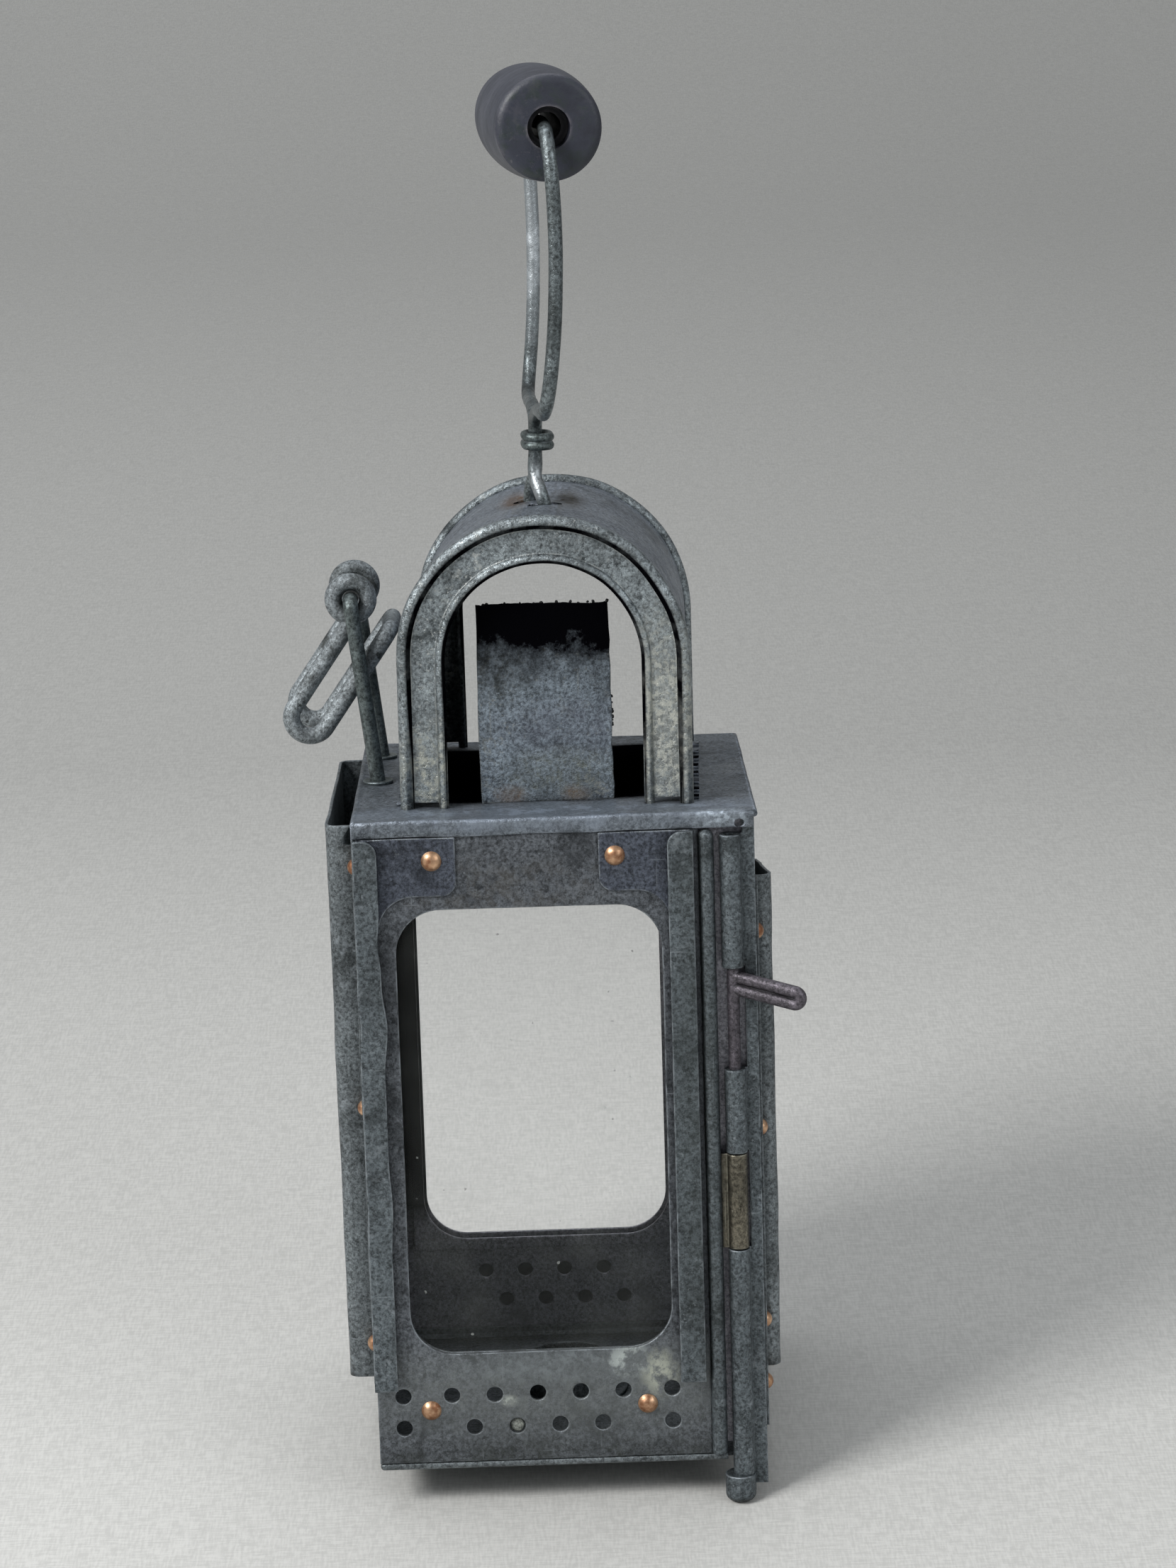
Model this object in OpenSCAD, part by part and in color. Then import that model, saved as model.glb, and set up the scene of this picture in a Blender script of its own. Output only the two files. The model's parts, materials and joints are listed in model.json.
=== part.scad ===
// Hand candle lantern: a square sheet-steel body with glazed windows front and back, a side
// door on a pinned hinge with a sliding wire bolt, slide pockets on both sides, an arched hood
// over the chimney hole, a wire bail with a turned grip and a double-wire belt hook.
// The body stands square on its base: +Z is up, -Y is the front and the origin is at the
// middle of the base's underside. All sizes are in millimetres.

/* [Body] */
// Width over the left wall and the closed door
body_w = 84; // [74:1:104]
// Depth over the front and back panels
body_d = 84; // [78:1:104]
// Height from the base's underside to the top of the roof
body_h = 144; // [136:1:170]
// Thickness of the body's sheet
sheet = 0.8; // [0.6:0.1:1.2]
// Thickness of the thin trim sheet
trim_sheet = 0.6; // [0.4:0.1:0.8]
// Radius of the rolled bead round the base
base_bead_r = 0.9; // [0.7:0.1:1.3]
// Radius of the rolled bead round the roof
roof_bead_r = 0.75; // [0.5:0.05:1.1]
// Height of the roof's turned-down flange
roof_flange_h = 2.6; // [1.5:0.1:5]
// Height of the floor's upturned rim
floor_rim_h = 3.2; // [2:0.1:5]
// Radius of the round hole under the hood that lets the heat out
draught_r = 11; // [7:0.5:14]
// Distance of that hole and the candle behind the middle of the body
draught_y = 4; // [0:0.5:8]

/* [Windows] */
// Width of the front panel left of its window
window_left_in = 7.8; // [7.4:0.1:14]
// Width of the front panel right of its window
window_right_in = 8.05; // [7.6:0.05:14]
// How far the back window sits to the right of the front one
back_window_right = 1.5; // [0:0.1:2]
// Distance of the lower left rivet from the window's left edge
low_rivet_left_in = 3.7; // [3:0.1:6]
// Distance of the lower right rivet from the window's right edge
low_rivet_right_in = 5.7; // [4:0.1:8]
// Distance of the upper left rivet from the left guide
gusset_rivet_in = 11.4; // [9:0.1:13]
// Bottom of the window opening above the base
window_z = 26.3; // [24:0.1:34]
// Distance of the window's top below the roof
window_top_in = 19.4; // [19.2:0.1:28]
// Corner radius of the window opening
window_r = 9.5; // [5:0.5:14]
// Thickness of the glass
glass_t = 1.8; // [1.2:0.1:2.4]
// How far the glass reaches behind the sheet all round
glass_lap = 2.6; // [1.5:0.1:3]

/* [Vent holes] */
// Radius of a vent hole
vent_r = 1.75; // [1:0.05:2.2]
// Distance between the vent holes of a row
vent_pitch = 9.25; // [8.5:0.05:9.6]
// Height of the upper row
vent_high_z = 16.9; // [15.5:0.1:18]
// Height of the lower row
vent_low_z = 9.7; // [8:0.1:10.5]
// How far the guard outside the back vent holes stands off the panel
vent_guard_out = 2; // [1.5:0.1:3]
// How far the guard's left end lies inside the window's left edge
vent_guard_in = 7.6; // [4:0.1:10]

/* [Front trim] */
// Width of a front slide guide
guide_w = 5; // [4:0.1:6]
// Gap between a guide's lip and the front panel
guide_gap = 1.7; // [1:0.1:2.4]
// Bottom of the slide guides above the base
guide_z = 18.9; // [18.7:0.1:24]
// Width of the left corner gusset beside its guide
gusset_left_w = 16.4; // [14:0.2:20]
// Width of the right corner gusset beside its guide
gusset_right_w = 14.8; // [12:0.2:20]
// Height of the gussets
gusset_h = 12.6; // [11:0.2:14]
// Radius of the rolled post at the front panel's right edge
post_r = 1.65; // [1.2:0.05:2]

/* [Rivets] */
// Radius of a front rivet's head
rivet_head_r = 2.15; // [1.6:0.05:2.4]
// Height of a rivet's head
rivet_head_h = 1.2; // [0.8:0.1:1.6]
// Radius of a rivet's shank
rivet_shank_r = 1.0; // [0.6:0.05:1.2]

/* [Slide pockets] */
// How far the left pocket stands out of the wall
left_pocket_out = 6.2; // [5.2:0.1:8]
// Bottom of the left pocket
left_pocket_z = 20; // [12:1:30]
// How far the door's pocket stands out of the door
door_pocket_out = 3.8; // [3:0.1:6]
// Bottom of the door's pocket
door_pocket_z = 18.6; // [15:0.1:26]
// Distance of the door pocket's top below the roof
door_pocket_top_in = 15.8; // [12:0.2:30]
// How far the door pocket's top edge slopes down towards the back
door_pocket_fall = 11; // [0:0.5:14]
// Distance of a pocket's end rivets from its ends
rivet_end_in = 8.5; // [6:0.5:14]
// How much shallower than the body the left pocket is, front to back
pocket_less = 14; // [14:1:24]
// How much shallower than the body the door's pocket is, front to back
door_pocket_less = 20; // [20:1:30]
// Width of the pockets' flanges
pocket_flange_w = 4.6; // [4.4:0.1:4.6]
// Height of the door's lowest rivet above its flange's foot
low_rivet_up = 9.3; // [7:0.1:12]

/* [Door and bolt] */
// Distance of the upper hinge knuckle's foot below the door's top
hinge_high_in = 49.3; // [46:0.1:54]
// Radius of the rolled tubes on the door's front edge
tube_r = 2.3; // [2:0.05:2.6]
// Radius of the bolt's wire
bolt_r = 1.3; // [1:0.05:1.5]
// Running clearance of the bolt in its tubes
bolt_clear = 0.08; // [0.03:0.01:0.1]
// Height of the lower tube's top end
low_tube_top = 48; // [40:0.5:52]
// Length of the body's bolt knuckle
knuckle_len = 20.9; // [12:0.1:22]
// Length of the door's middle tube
mid_tube_len = 18.3; // [12:0.1:20]
// Height of the gap in which the bolt's handle travels
handle_gap = 22.4; // [20:0.2:26]
// How far the bolt drops from raised to locked
bolt_travel = 15.5; // [8:0.5:15.5]
// Length of the bolt's looped handle
handle_len = 15.4; // [10:0.2:22]
// How far the door's foot reaches below the base
foot_drop = 9; // [3:0.5:12]
// Radius of the door's foot
foot_r = 3.3; // [2.9:0.1:3.6]
// Radius of the hinge pin
pin_r = 1.1; // [0.8:0.05:1.3]
// Running clearance of the hinge pin
pin_clear = 0.05; // [0.03:0.01:0.1]
// Length of each of the body's two hinge knuckles
hinge_len = 20; // [12:1:24]

/* [Hood] */
// Distance of the hood's side inside the body's side
hood_side_in = 11; // [9:0.5:14]
// Height of the hood's top above the roof
hood_h = 62.3; // [56:0.1:70]
// Distance of the hood's front frame behind the front panel
hood_front_in = 9.3; // [8:0.1:14]
// Distance of the hood's back frame in front of the back panel
hood_back_in = 5; // [3:0.1:12]
// Radius of the frames' outer bead
hood_bead_r = 1.5; // [1.1:0.1:1.7]
// Radius of the frames' inner bead
inner_bead_r = 1.05; // [0.8:0.05:1.3]
// Width of a frame's face, its two beads included
hood_face_w = 10.3; // [9:0.1:12]
// Turn of the hood about the vertical, in degrees
hood_yaw = -2.4; // [-3:0.2:0]
// How far a frame's flange lies behind the middle of its beads
flange_set_back = 0.3; // [0:0.1:0.9]
// Height of the gap under the flanges, where only the beads reach the roof
flange_gap = 1.2; // [0:0.1:2.5]
// Number of bent tabs that hold each side of the hood
hood_tabs = 8; // [4:1:8]
// Width of the baffle plate
baffle_w = 28.4; // [22:0.2:34]
// Height of the baffle plate
baffle_h = 43; // [34:0.5:44]
// Distance of the baffle behind the hood's front
baffle_in = 6.4; // [5:0.1:9]

/* [Bail and grip] */
// Radius of the bail's wire
bail_r = 1.55; // [1.3:0.05:1.8]
// Mean radius of the bail's ring through the hood
ring_r = 4.5; // [4.2:0.1:5.4]
// Length of the two slots in the hood that the ring tilts in
ring_slot = 7.8; // [6:0.1:8]
// Turn of the ring against the bail, in degrees
ring_turn = 16; // [0:1:20]
// Height of the bail's lower bars above the ring's middle
bail_stem = 22.4; // [20:0.2:28]
// Distance between the bail's lower and upper bars
bail_loop = 60.8; // [52:0.2:74]
// Turn of the bail about its stem, in degrees
bail_yaw = 4; // [0:0.5:6]
// Lean of the bail to the right, in degrees
bail_lean = 1.6; // [0:0.1:4]
// Distance of the bail's stem left of the body's middle
bail_left = 1.3; // [0:0.1:3]
// Radius of the bail's corner bends
bail_bend = 4.5; // [4:0.5:7]
// Length of the grip
grip_len = 74; // [68:1:78]
// Radius of the grip at its middle
grip_r = 12; // [10.5:0.25:13.5]
// Radius of the grip's end faces
grip_end_r = 10.4; // [9:0.1:10.4]
// Radius of the grip's bore
grip_bore_r = 3; // [2.6:0.05:3.6]
// Radius of the wider mouth at each end of the bore
grip_mouth_r = 4.4; // [3.8:0.05:5]
// Radius of the collar's wire
collar_r = 0.95; // [0.9:0.05:1.3]

/* [Belt hook] */
// Radius of the staple's wire
staple_r = 1.65; // [1.2:0.05:1.7]
// Length of the staple's legs above the roof
staple_h = 40.5; // [37:0.5:46]
// Distance between the staple's legs
staple_w = 28; // [24:0.5:31]
// Lean of the staple away from the hood, in degrees
staple_lean = 6.5; // [5:0.5:10]
// Radius of the hook's wire
hook_r = 1.9; // [1.5:0.05:2]
// Length of the hook's down-going arms
hook_arm = 27; // [20:0.5:29]
// Mean radius of the hook's lower bends
hook_bend = 4.1; // [3.4:0.1:4.3]
// Length of the hook's arms back up to its closed end
hook_return = 26; // [20:0.5:31]
// Slant of the hook's arms from the vertical, in degrees
hook_slant = 35; // [31:1:40]

/* [Candle cup] */
// Inner radius of the candle cup
cup_r = 9.5; // [7:0.25:11]
// Depth of the candle cup
cup_h = 7; // [5:0.5:9]

/* [Hidden] */
$fn = 64;

// Colours of the old gunmetal sheet, its brighter wires, copper, glass and dark grip
steel = [0.30, 0.32, 0.36];
wire_steel = [0.38, 0.40, 0.43];
copper = [0.72, 0.42, 0.29];
clear_glass = [0.80, 0.88, 0.88, 0.35];
grip_blue = [0.17, 0.18, 0.23];

// Clearances and laps
eps = 0.01;
cut = 1;
gap = 0.35;
seat = 0.02;

// Planes of the body
x_left = -body_w / 2;
x_right = body_w / 2;
y_front = -body_d / 2;
y_back = body_d / 2;
roof_under = body_h - sheet;
roof_bead_z = body_h - roof_bead_r + 0.08;
panel_top = roof_bead_z - roof_bead_r - seat;
panel_z = 2 * base_bead_r;

// Door edge tubes, the bolt in them and the hinge
tube_x = x_right - 5.2;
tube_y = y_front + 0.2;
tube_bore_r = bolt_r + bolt_clear;
tube_web = 0.8;
web_y = tube_y + 0.9;
knuckle_web_y = tube_y - tube_web / 2;
flange_x = tube_x + tube_r + 0.3;
knuckle_z = low_tube_top + gap;
mid_tube_z = knuckle_z + knuckle_len + gap;
gap_z = mid_tube_z + mid_tube_len;
high_tube_z = gap_z + handle_gap;
door_top = roof_under - 4.2;
leaf_top = body_h - 2 * roof_bead_r - gap;
door_z = panel_z + gap + 0.05;
low_tube_z = -foot_drop + 1.6;
hinge_r = 2.3;
hinge_x = x_right - hinge_r;
hinge_y = y_back - hinge_r;
hinge_cut = 2.9;
hinge_low = 34.5;
hinge_high = door_top - hinge_high_in;
foot_x = tube_x - 0.8;
handle_turn = 24;
handle_slope = 10;

// Front post beside the tubes
post_x = tube_x - tube_r - 1.15 - post_r;
post_y = y_front - 0.15;
panel_right = post_x - post_r;
trim_top = body_h - sheet - roof_flange_h - 0.3;
post_top = trim_top - post_r;
knuckle_r = 2.2;

// Windows and glass
window_left = x_left + window_left_in;
window_right = panel_right - window_right_in;
window_w = window_right - window_left;
window_h = body_h - window_top_in - window_z;
window_x = (window_left + window_right) / 2;

// Hood and its ring
hood_r = body_w / 2 - hood_side_in;
hood_open_r = hood_r - hood_face_w;
strip_r = hood_r - 1.5;
strip_t = 0.8;
hood_z = body_h + hood_h - hood_r;
hood_front = y_front + hood_front_in;
hood_back = y_back - hood_back_in;
frame_r = hood_r - hood_bead_r;
frame_inner_r = hood_open_r + inner_bead_r;
hood_leg = hood_z - body_h;
strip_y0 = hood_front + 2 * hood_bead_r + seat;
strip_y1 = hood_back - 2 * hood_bead_r - seat;
ring_z = hood_z + strip_r - strip_t / 2;
baffle_x = -1;

// Bail and grip
bail_side = grip_len / 2 - 2 + bail_bend;
bar_z = bail_stem;
top_z = bail_stem + bail_loop;
stem_bend = 3.2;
stem_gap = 0.15;
grip_drop = grip_bore_r - bail_r - 0.1;
bail_x = -bail_left;

// Staple and hook
staple_x = x_left + 3.8;
staple_y = -1;
staple_bend = 2;
pivot_x = staple_x - staple_h * sin(staple_lean);
pivot_z = body_h + staple_h * cos(staple_lean);
eye_r = staple_r + hook_r + 0.25;
eye_in = staple_bend + hook_r + 0.3;
hook_end_bend = 3;
arm_x = eye_r * 0.7;

// Slide pockets, set a little forward of the middle
left_pocket_y = -2;
left_pocket_top = body_h - 2 * roof_bead_r - 0.1;
pocket_d = body_d - pocket_less;
door_pocket_y = -2.5;
door_pocket_d = body_d - door_pocket_less;
door_pocket_top = body_h - door_pocket_top_in;
door_flange_z = 6.7;

// Rivet places
left_rivet_z = [left_pocket_z + rivet_end_in, (left_pocket_z + left_pocket_top) / 2,
    left_pocket_top - rivet_end_in];
door_rivet_z = [door_pocket_z + rivet_end_in + 3, (door_pocket_z + door_pocket_top) / 2,
    door_pocket_top - rivet_end_in - 3];
low_rivet_z = door_flange_z + low_rivet_up;
front_rivet_low = [window_left + low_rivet_left_in, window_right - low_rivet_right_in];
rivet_low_z = 13.6;
left_web_x = x_left - 0.4;
right_web_x = panel_right - 1.1;
rivet_top_left_x = left_web_x + guide_w + gusset_rivet_in;
rivet_top_right_x = right_web_x - guide_w - gusset_right_w + 3.4;
rivet_top_z = trim_top - 5;
lug_w = 5.4;

// ---------- Shapes that repeat ----------

// A box from one corner to the other
module slab(x0, x1, y0, y1, z0, z1) {
    translate([x0, y0, z0]) cube([x1 - x0, y1 - y0, z1 - z0]);
}

// A rounded rectangle, made of squares and circles
module rounded(w, h, r) {
    translate([r, 0]) square([w - 2 * r, h]);
    translate([0, r]) square([w, h - 2 * r]);
    for (x = [r, w - r], y = [r, h - r]) translate([x, y]) circle(r);
}

// An upright rod or tube
module upright(x, y, z0, z1, r) {
    translate([x, y, z0]) cylinder(r = r, h = z1 - z0);
}

// A rod along X, from x0 to x1
module rod_x(x0, x1, y, z, r) {
    translate([x0, y, z]) rotate([0, 90, 0]) cylinder(r = r, h = x1 - x0);
}

// A rod along Y, from y0 to y1
module rod_y(x, y0, y1, z, r) {
    translate([x, y1, z]) rotate([90, 0, 0]) cylinder(r = r, h = y1 - y0);
}

// A bent length of wire, from the +X side of its centre round towards +Y
module bend(mean_r, r, angle) {
    rotate_extrude(angle = angle) translate([mean_r, 0]) circle(r);
}

// A vertical plate in the XZ plane, from a flat outline, its front face at y
module plate_xz(y, t) {
    translate([0, y + t, 0]) rotate([90, 0, 0]) linear_extrude(t) children();
}

// A rivet with a domed head along +Z, its head's seat at zero and its shank going down
module rivet(head_r, grip_t) {
    dome_r = (head_r * head_r + rivet_head_h * rivet_head_h) / (2 * rivet_head_h);
    intersection() {
        translate([0, 0, rivet_head_h - dome_r]) sphere(dome_r);
        cylinder(r = head_r, h = rivet_head_h);
    }
    translate([0, 0, -grip_t]) cylinder(r = rivet_shank_r, h = grip_t);
    translate([0, 0, -grip_t - 0.5]) cylinder(r = rivet_shank_r + 0.5, h = 0.5);
}

// The hole for a rivet's shank, along Z
module rivet_hole(depth) {
    translate([0, 0, -depth - cut]) cylinder(r = rivet_shank_r, h = depth + 2 * cut);
}

// Puts its children at each front rivet, with +Z pointing out of the front at depth y
module at_front(x, y, z) {
    translate([x, y, z]) rotate([90, 0, 0]) children();
}

// ---------- Base and walls ----------

module base_tray() {
    color(steel) difference() {
        union() {
            slab(x_left + base_bead_r, x_right - base_bead_r,
                y_front + base_bead_r, y_back - base_bead_r, 0, sheet);
            for (y = [y_front + base_bead_r, y_back - base_bead_r])
                rod_x(x_left + base_bead_r, x_right - base_bead_r, y, base_bead_r, base_bead_r);
            for (x = [x_left + base_bead_r, x_right - base_bead_r])
                rod_y(x, y_front + base_bead_r, y_back - base_bead_r, base_bead_r, base_bead_r);
            for (x = [x_left + base_bead_r, x_right - base_bead_r],
                y = [y_front + base_bead_r, y_back - base_bead_r])
                translate([x, y, base_bead_r]) sphere(base_bead_r);
            floor_rim();
        }
        slab(post_x + post_r + seat, x_right + cut, y_front - cut, tube_y + tube_r + gap,
            -cut, floor_rim_h + cut);
        upright(post_x, post_y, panel_z + 0.2 - seat, floor_rim_h + cut, post_r + seat);
    }
}

// The rim that stands inside the walls
module floor_rim() {
    rim_x0 = x_left + sheet + seat;
    rim_x1 = x_right - sheet - gap;
    rim_y0 = y_front + sheet + seat;
    rim_y1 = y_back - sheet - seat;
    difference() {
        slab(rim_x0, rim_x1, rim_y0, rim_y1, 0, floor_rim_h);
        slab(rim_x0 + trim_sheet, rim_x1 - trim_sheet, rim_y0 + trim_sheet,
            rim_y1 - trim_sheet, sheet, floor_rim_h + cut);
    }
}

module floor_lugs() {
    lug_y = y_front + sheet + seat;
    color(steel) for (x = front_rivet_low) difference() {
        slab(x - lug_w / 2, x + lug_w / 2, lug_y, lug_y + trim_sheet,
            floor_rim_h + seat, rivet_low_z + 3);
        at_front(x, lug_y, rivet_low_z) rivet_hole(trim_sheet);
    }
}

// Outline of the window opening, grown all round
module window_outline(grow) {
    translate([window_left - grow, window_z - grow])
        rounded(window_w + 2 * grow, window_h + 2 * grow, window_r + grow);
}

// Two staggered rows of vent holes, given by each hole's step from the middle
module vent_outline(high_steps, low_steps, middle) {
    for (s = high_steps) translate([middle + s * vent_pitch, vent_high_z]) circle(vent_r);
    for (s = low_steps) translate([middle + s * vent_pitch, vent_low_z]) circle(vent_r);
}

module front_panel() {
    color(steel) difference() {
        plate_xz(y_front, sheet) difference() {
            translate([x_left, panel_z]) square([panel_right - x_left, panel_top - panel_z]);
            window_outline(0);
            vent_outline([-3.14, -2, -1, 0, 1, 2, 3.14],
                [-3.14, -1.5, -0.5, 0.5, 1.5, 3.14], window_x - 1.3);
        }
        for (x = front_rivet_low) at_front(x, y_front, rivet_low_z) rivet_hole(sheet);
        for (x = [rivet_top_left_x, rivet_top_right_x])
            at_front(x, y_front, rivet_top_z) rivet_hole(sheet);
    }
}

// The hinge's bored tube from z0 to z1
module hinge_tube(z0, z1) {
    upright(hinge_x, hinge_y, z0, z1, hinge_r);
}

module back_panel() {
    color(steel) difference() {
        union() {
            plate_xz(y_back - sheet, sheet) difference() {
                translate([x_left, panel_z])
                    square([hinge_x - hinge_cut - x_left, panel_top - panel_z]);
                translate([back_window_right, 0]) window_outline(0);
                vent_outline([-1.5, -0.5, 0.5, 1.5], [-1, 0, 1, 2], window_x + 0.6);
            }
            for (z = [hinge_low, hinge_high]) {
                slab(hinge_x - hinge_cut - eps, hinge_x, y_back - sheet, y_back,
                    z, z + hinge_len);
                hinge_tube(z, z + hinge_len);
            }
        }
        upright(hinge_x, hinge_y, 0, body_h, pin_r + pin_clear);
    }
}

module left_wall() {
    color(steel) difference() {
        slab(x_left, x_left + sheet, y_front + sheet + seat, y_back - sheet - seat,
            panel_z, panel_top);
        at_left_rivets(x_left) rivet_hole(sheet);
    }
}

module front_post() {
    color(steel) {
        upright(post_x, post_y, panel_z + 0.2, post_top, post_r);
        translate([post_x, post_y, post_top]) sphere(post_r);
    }
}

// The folded strip that closes the gap behind the door's front edge
module door_jamb() {
    jamb_y = tube_y + tube_r + gap + 0.05;
    jamb_z = floor_rim_h + seat;
    color(steel) {
        slab(panel_right - trim_sheet, panel_right, y_front + sheet + seat, jamb_y + eps,
            jamb_z, panel_top);
        slab(panel_right - trim_sheet, x_right - 1.6, jamb_y, jamb_y + trim_sheet,
            jamb_z, panel_top);
    }
}

// The shallow channel outside the back vent holes that keeps the wind off the flame
module back_vent_guard() {
    guard_x0 = window_left + vent_guard_in;
    guard_x1 = window_right - vent_r;
    guard_z0 = vent_low_z - vent_r - 2.5;
    guard_z1 = vent_high_z + vent_r + 2.5;
    color(steel) {
        slab(guard_x0, guard_x1, y_back + vent_guard_out, y_back + vent_guard_out + trim_sheet,
            guard_z0, guard_z1);
        for (x = [guard_x0, guard_x1 - trim_sheet]) slab(x, x + trim_sheet,
            y_back + seat, y_back + vent_guard_out + eps, guard_z0, guard_z1);
    }
}

module latch_knuckle() {
    color([0.44, 0.41, 0.34]) difference() {
        union() {
            upright(tube_x, tube_y, knuckle_z, knuckle_z + knuckle_len, knuckle_r);
            slab(post_x + post_r + seat, tube_x - tube_r / 2, knuckle_web_y,
                knuckle_web_y + tube_web, knuckle_z, knuckle_z + knuckle_len);
        }
        upright(tube_x, tube_y, 0, body_h, tube_bore_r);
    }
}

// ---------- Front trim ----------

// A channel that a slide runs in: web on the outer side, lip in front, corner rounded off
module guide(x_web, x_lip) {
    x0 = min(x_web, x_lip);
    w = abs(x_lip - x_web);
    lip_y = y_front - guide_gap - trim_sheet;
    web_x0 = x_lip > x_web ? x_web : x_web - trim_sheet;
    round_r = 3;
    color(steel) {
        plate_xz(lip_y, trim_sheet) difference() {
            translate([x0, guide_z]) square([w, trim_top - guide_z]);
            translate([x_lip > x_web ? x_lip - round_r : x_lip, trim_top - round_r])
                difference() {
                    square([round_r, round_r + cut]);
                    translate([x_lip > x_web ? 0 : round_r, 0]) circle(round_r);
                }
        }
        slab(web_x0, web_x0 + trim_sheet, lip_y + trim_sheet - eps, y_front, guide_z, trim_top);
    }
}

module left_guide() {
    guide(left_web_x, left_web_x + guide_w);
}

module right_guide() {
    guide(right_web_x, right_web_x - guide_w - 0.4);
}

// A corner plate w wide, its lower edge swept down towards the guide, seen from x0 with side +1 or -1
module gusset(x0, w, side, rivet_x) {
    tail_h = 20.3;
    tail_w = 4.2;
    arc_r = 7.5;
    corner_r = 3;
    color(steel) difference() {
        plate_xz(y_front - 0.5, 0.5 - seat) translate([x0, trim_top])
            scale([side, 1]) difference() {
                union() {
                    translate([0, -gusset_h + corner_r]) square([w, gusset_h - corner_r]);
                    translate([0, -gusset_h]) square([w - corner_r, gusset_h]);
                    translate([w - corner_r, -gusset_h + corner_r]) circle(corner_r);
                    translate([0, -tail_h]) square([tail_w + arc_r, tail_h]);
                }
                translate([tail_w + arc_r, -gusset_h - arc_r]) circle(arc_r);
                translate([tail_w + arc_r, -tail_h - cut]) square([w, tail_h + cut - gusset_h]);
                translate([tail_w, -tail_h - cut])
                    square([arc_r + cut, tail_h + cut - gusset_h - arc_r]);
            }
        at_front(rivet_x, y_front, rivet_top_z) rivet_hole(1);
    }
}

module left_gusset() {
    gusset(left_web_x + trim_sheet + seat, guide_w - trim_sheet + gusset_left_w, 1,
        rivet_top_left_x);
}

module right_gusset() {
    gusset(right_web_x - trim_sheet - seat, guide_w - trim_sheet + gusset_right_w, -1,
        rivet_top_right_x);
}

module front_rivets() {
    lug_grip = sheet + seat + trim_sheet;
    color(copper) {
        for (x = front_rivet_low) at_front(x, y_front, rivet_low_z) rivet(rivet_head_r, lug_grip);
        for (x = [rivet_top_left_x, rivet_top_right_x])
            at_front(x, y_front - 0.5, rivet_top_z) rivet(rivet_head_r, sheet + 0.5);
    }
}

// ---------- Slide pockets ----------

// A pocket's outline in plan, seen from its own wall: +X points outwards
module pocket_plan(out, depth, r) {
    difference() {
        translate([-out, -depth / 2]) rounded(2 * out, depth, r);
        translate([-out, -depth / 2 + trim_sheet])
            rounded(2 * out - trim_sheet, depth - 2 * trim_sheet, r - trim_sheet);
        translate([-out - cut, -depth / 2 - cut]) square([out + cut, depth + 2 * cut]);
    }
}

// The whole pocket: channel from z0 to z1, closed bottom and riveted flanges
module pocket(out, depth, z0, z1, flange_z, flange_top) {
    flange_y = depth / 2 + pocket_flange_w;
    translate([0, 0, z0]) linear_extrude(z1 - z0) pocket_plan(out, depth, 2.4);
    translate([0, 0, z0]) linear_extrude(trim_sheet) intersection() {
        translate([-out, -depth / 2]) rounded(2 * out, depth, 2.4);
        translate([0, -depth]) square([out, 2 * depth]);
    }
    slab(0, trim_sheet, -flange_y, -depth / 2 + eps, flange_z, flange_top);
    slab(0, trim_sheet, depth / 2 - eps, flange_y, flange_z, flange_top);
    if (flange_z < z0)
        slab(0, trim_sheet, -flange_y, flange_y, flange_z, z0 + eps);
}

// Puts its children at each rivet of the left pocket, +Z pointing out of the wall at depth x
module at_left_rivets(x) {
    for (z = left_rivet_z, side = [-1, 1])
        translate([x, left_pocket_y + side * (pocket_d + pocket_flange_w) / 2, z])
            rotate([0, -90, 0]) children();
}

// The same for the door's pocket, whose front flange has one more rivet low down
module at_door_rivets(x) {
    row_y = (door_pocket_d + pocket_flange_w) / 2;
    for (z = door_rivet_z, side = [-1, 1])
        translate([x, door_pocket_y + side * row_y, z]) rotate([0, 90, 0]) children();
    translate([x, door_pocket_y - row_y, low_rivet_z]) rotate([0, 90, 0]) children();
}

module left_pocket() {
    tab_h = 4.6;
    front_y = left_pocket_y - pocket_d / 2;
    color(steel) difference() {
        union() {
            translate([x_left, left_pocket_y, 0]) mirror([1, 0, 0]) pocket(left_pocket_out,
                pocket_d, left_pocket_z, left_pocket_top, left_pocket_z, trim_top);
            slab(x_left - left_pocket_out + 2.4, x_left - 0.9, front_y - trim_sheet,
                front_y + eps, left_pocket_top - tab_h, left_pocket_top);
        }
        at_left_rivets(x_left - trim_sheet) rivet_hole(trim_sheet);
    }
}

module left_rivets() {
    color(copper) at_left_rivets(x_left - trim_sheet)
        rivet(rivet_head_r - 0.4, trim_sheet + sheet);
}

// ---------- Roof and hood ----------

module roof_plate() {
    bead_z = roof_bead_z;
    color(steel) difference() {
        union() {
            slab(x_left, x_right, y_front, y_back, roof_under, body_h);
            for (y = [y_front, y_back]) rod_x(x_left, x_right, y, bead_z, roof_bead_r);
            for (x = [x_left, x_right]) rod_y(x, y_front, y_back, bead_z, roof_bead_r);
            slab(x_left - trim_sheet, x_right - 0.3, y_front - trim_sheet, y_front - seat,
                roof_under - roof_flange_h, bead_z);
            slab(x_left - trim_sheet, x_right - hinge_cut, y_back + seat, y_back + trim_sheet,
                roof_under - roof_flange_h, bead_z);
        }
        translate([baffle_x, draught_y, roof_under - cut]) cylinder(r = draught_r, h = 3);
        staple_bores(staple_r + 0.05);
    }
}

// Where the staple's legs pass through the roof
module staple_bores(r) {
    for (y = [0, staple_w])
        translate([staple_x, staple_y + y, body_h]) rotate([0, -staple_lean, 0])
            translate([0, 0, -4]) cylinder(r = r, h = 6);
}

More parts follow.
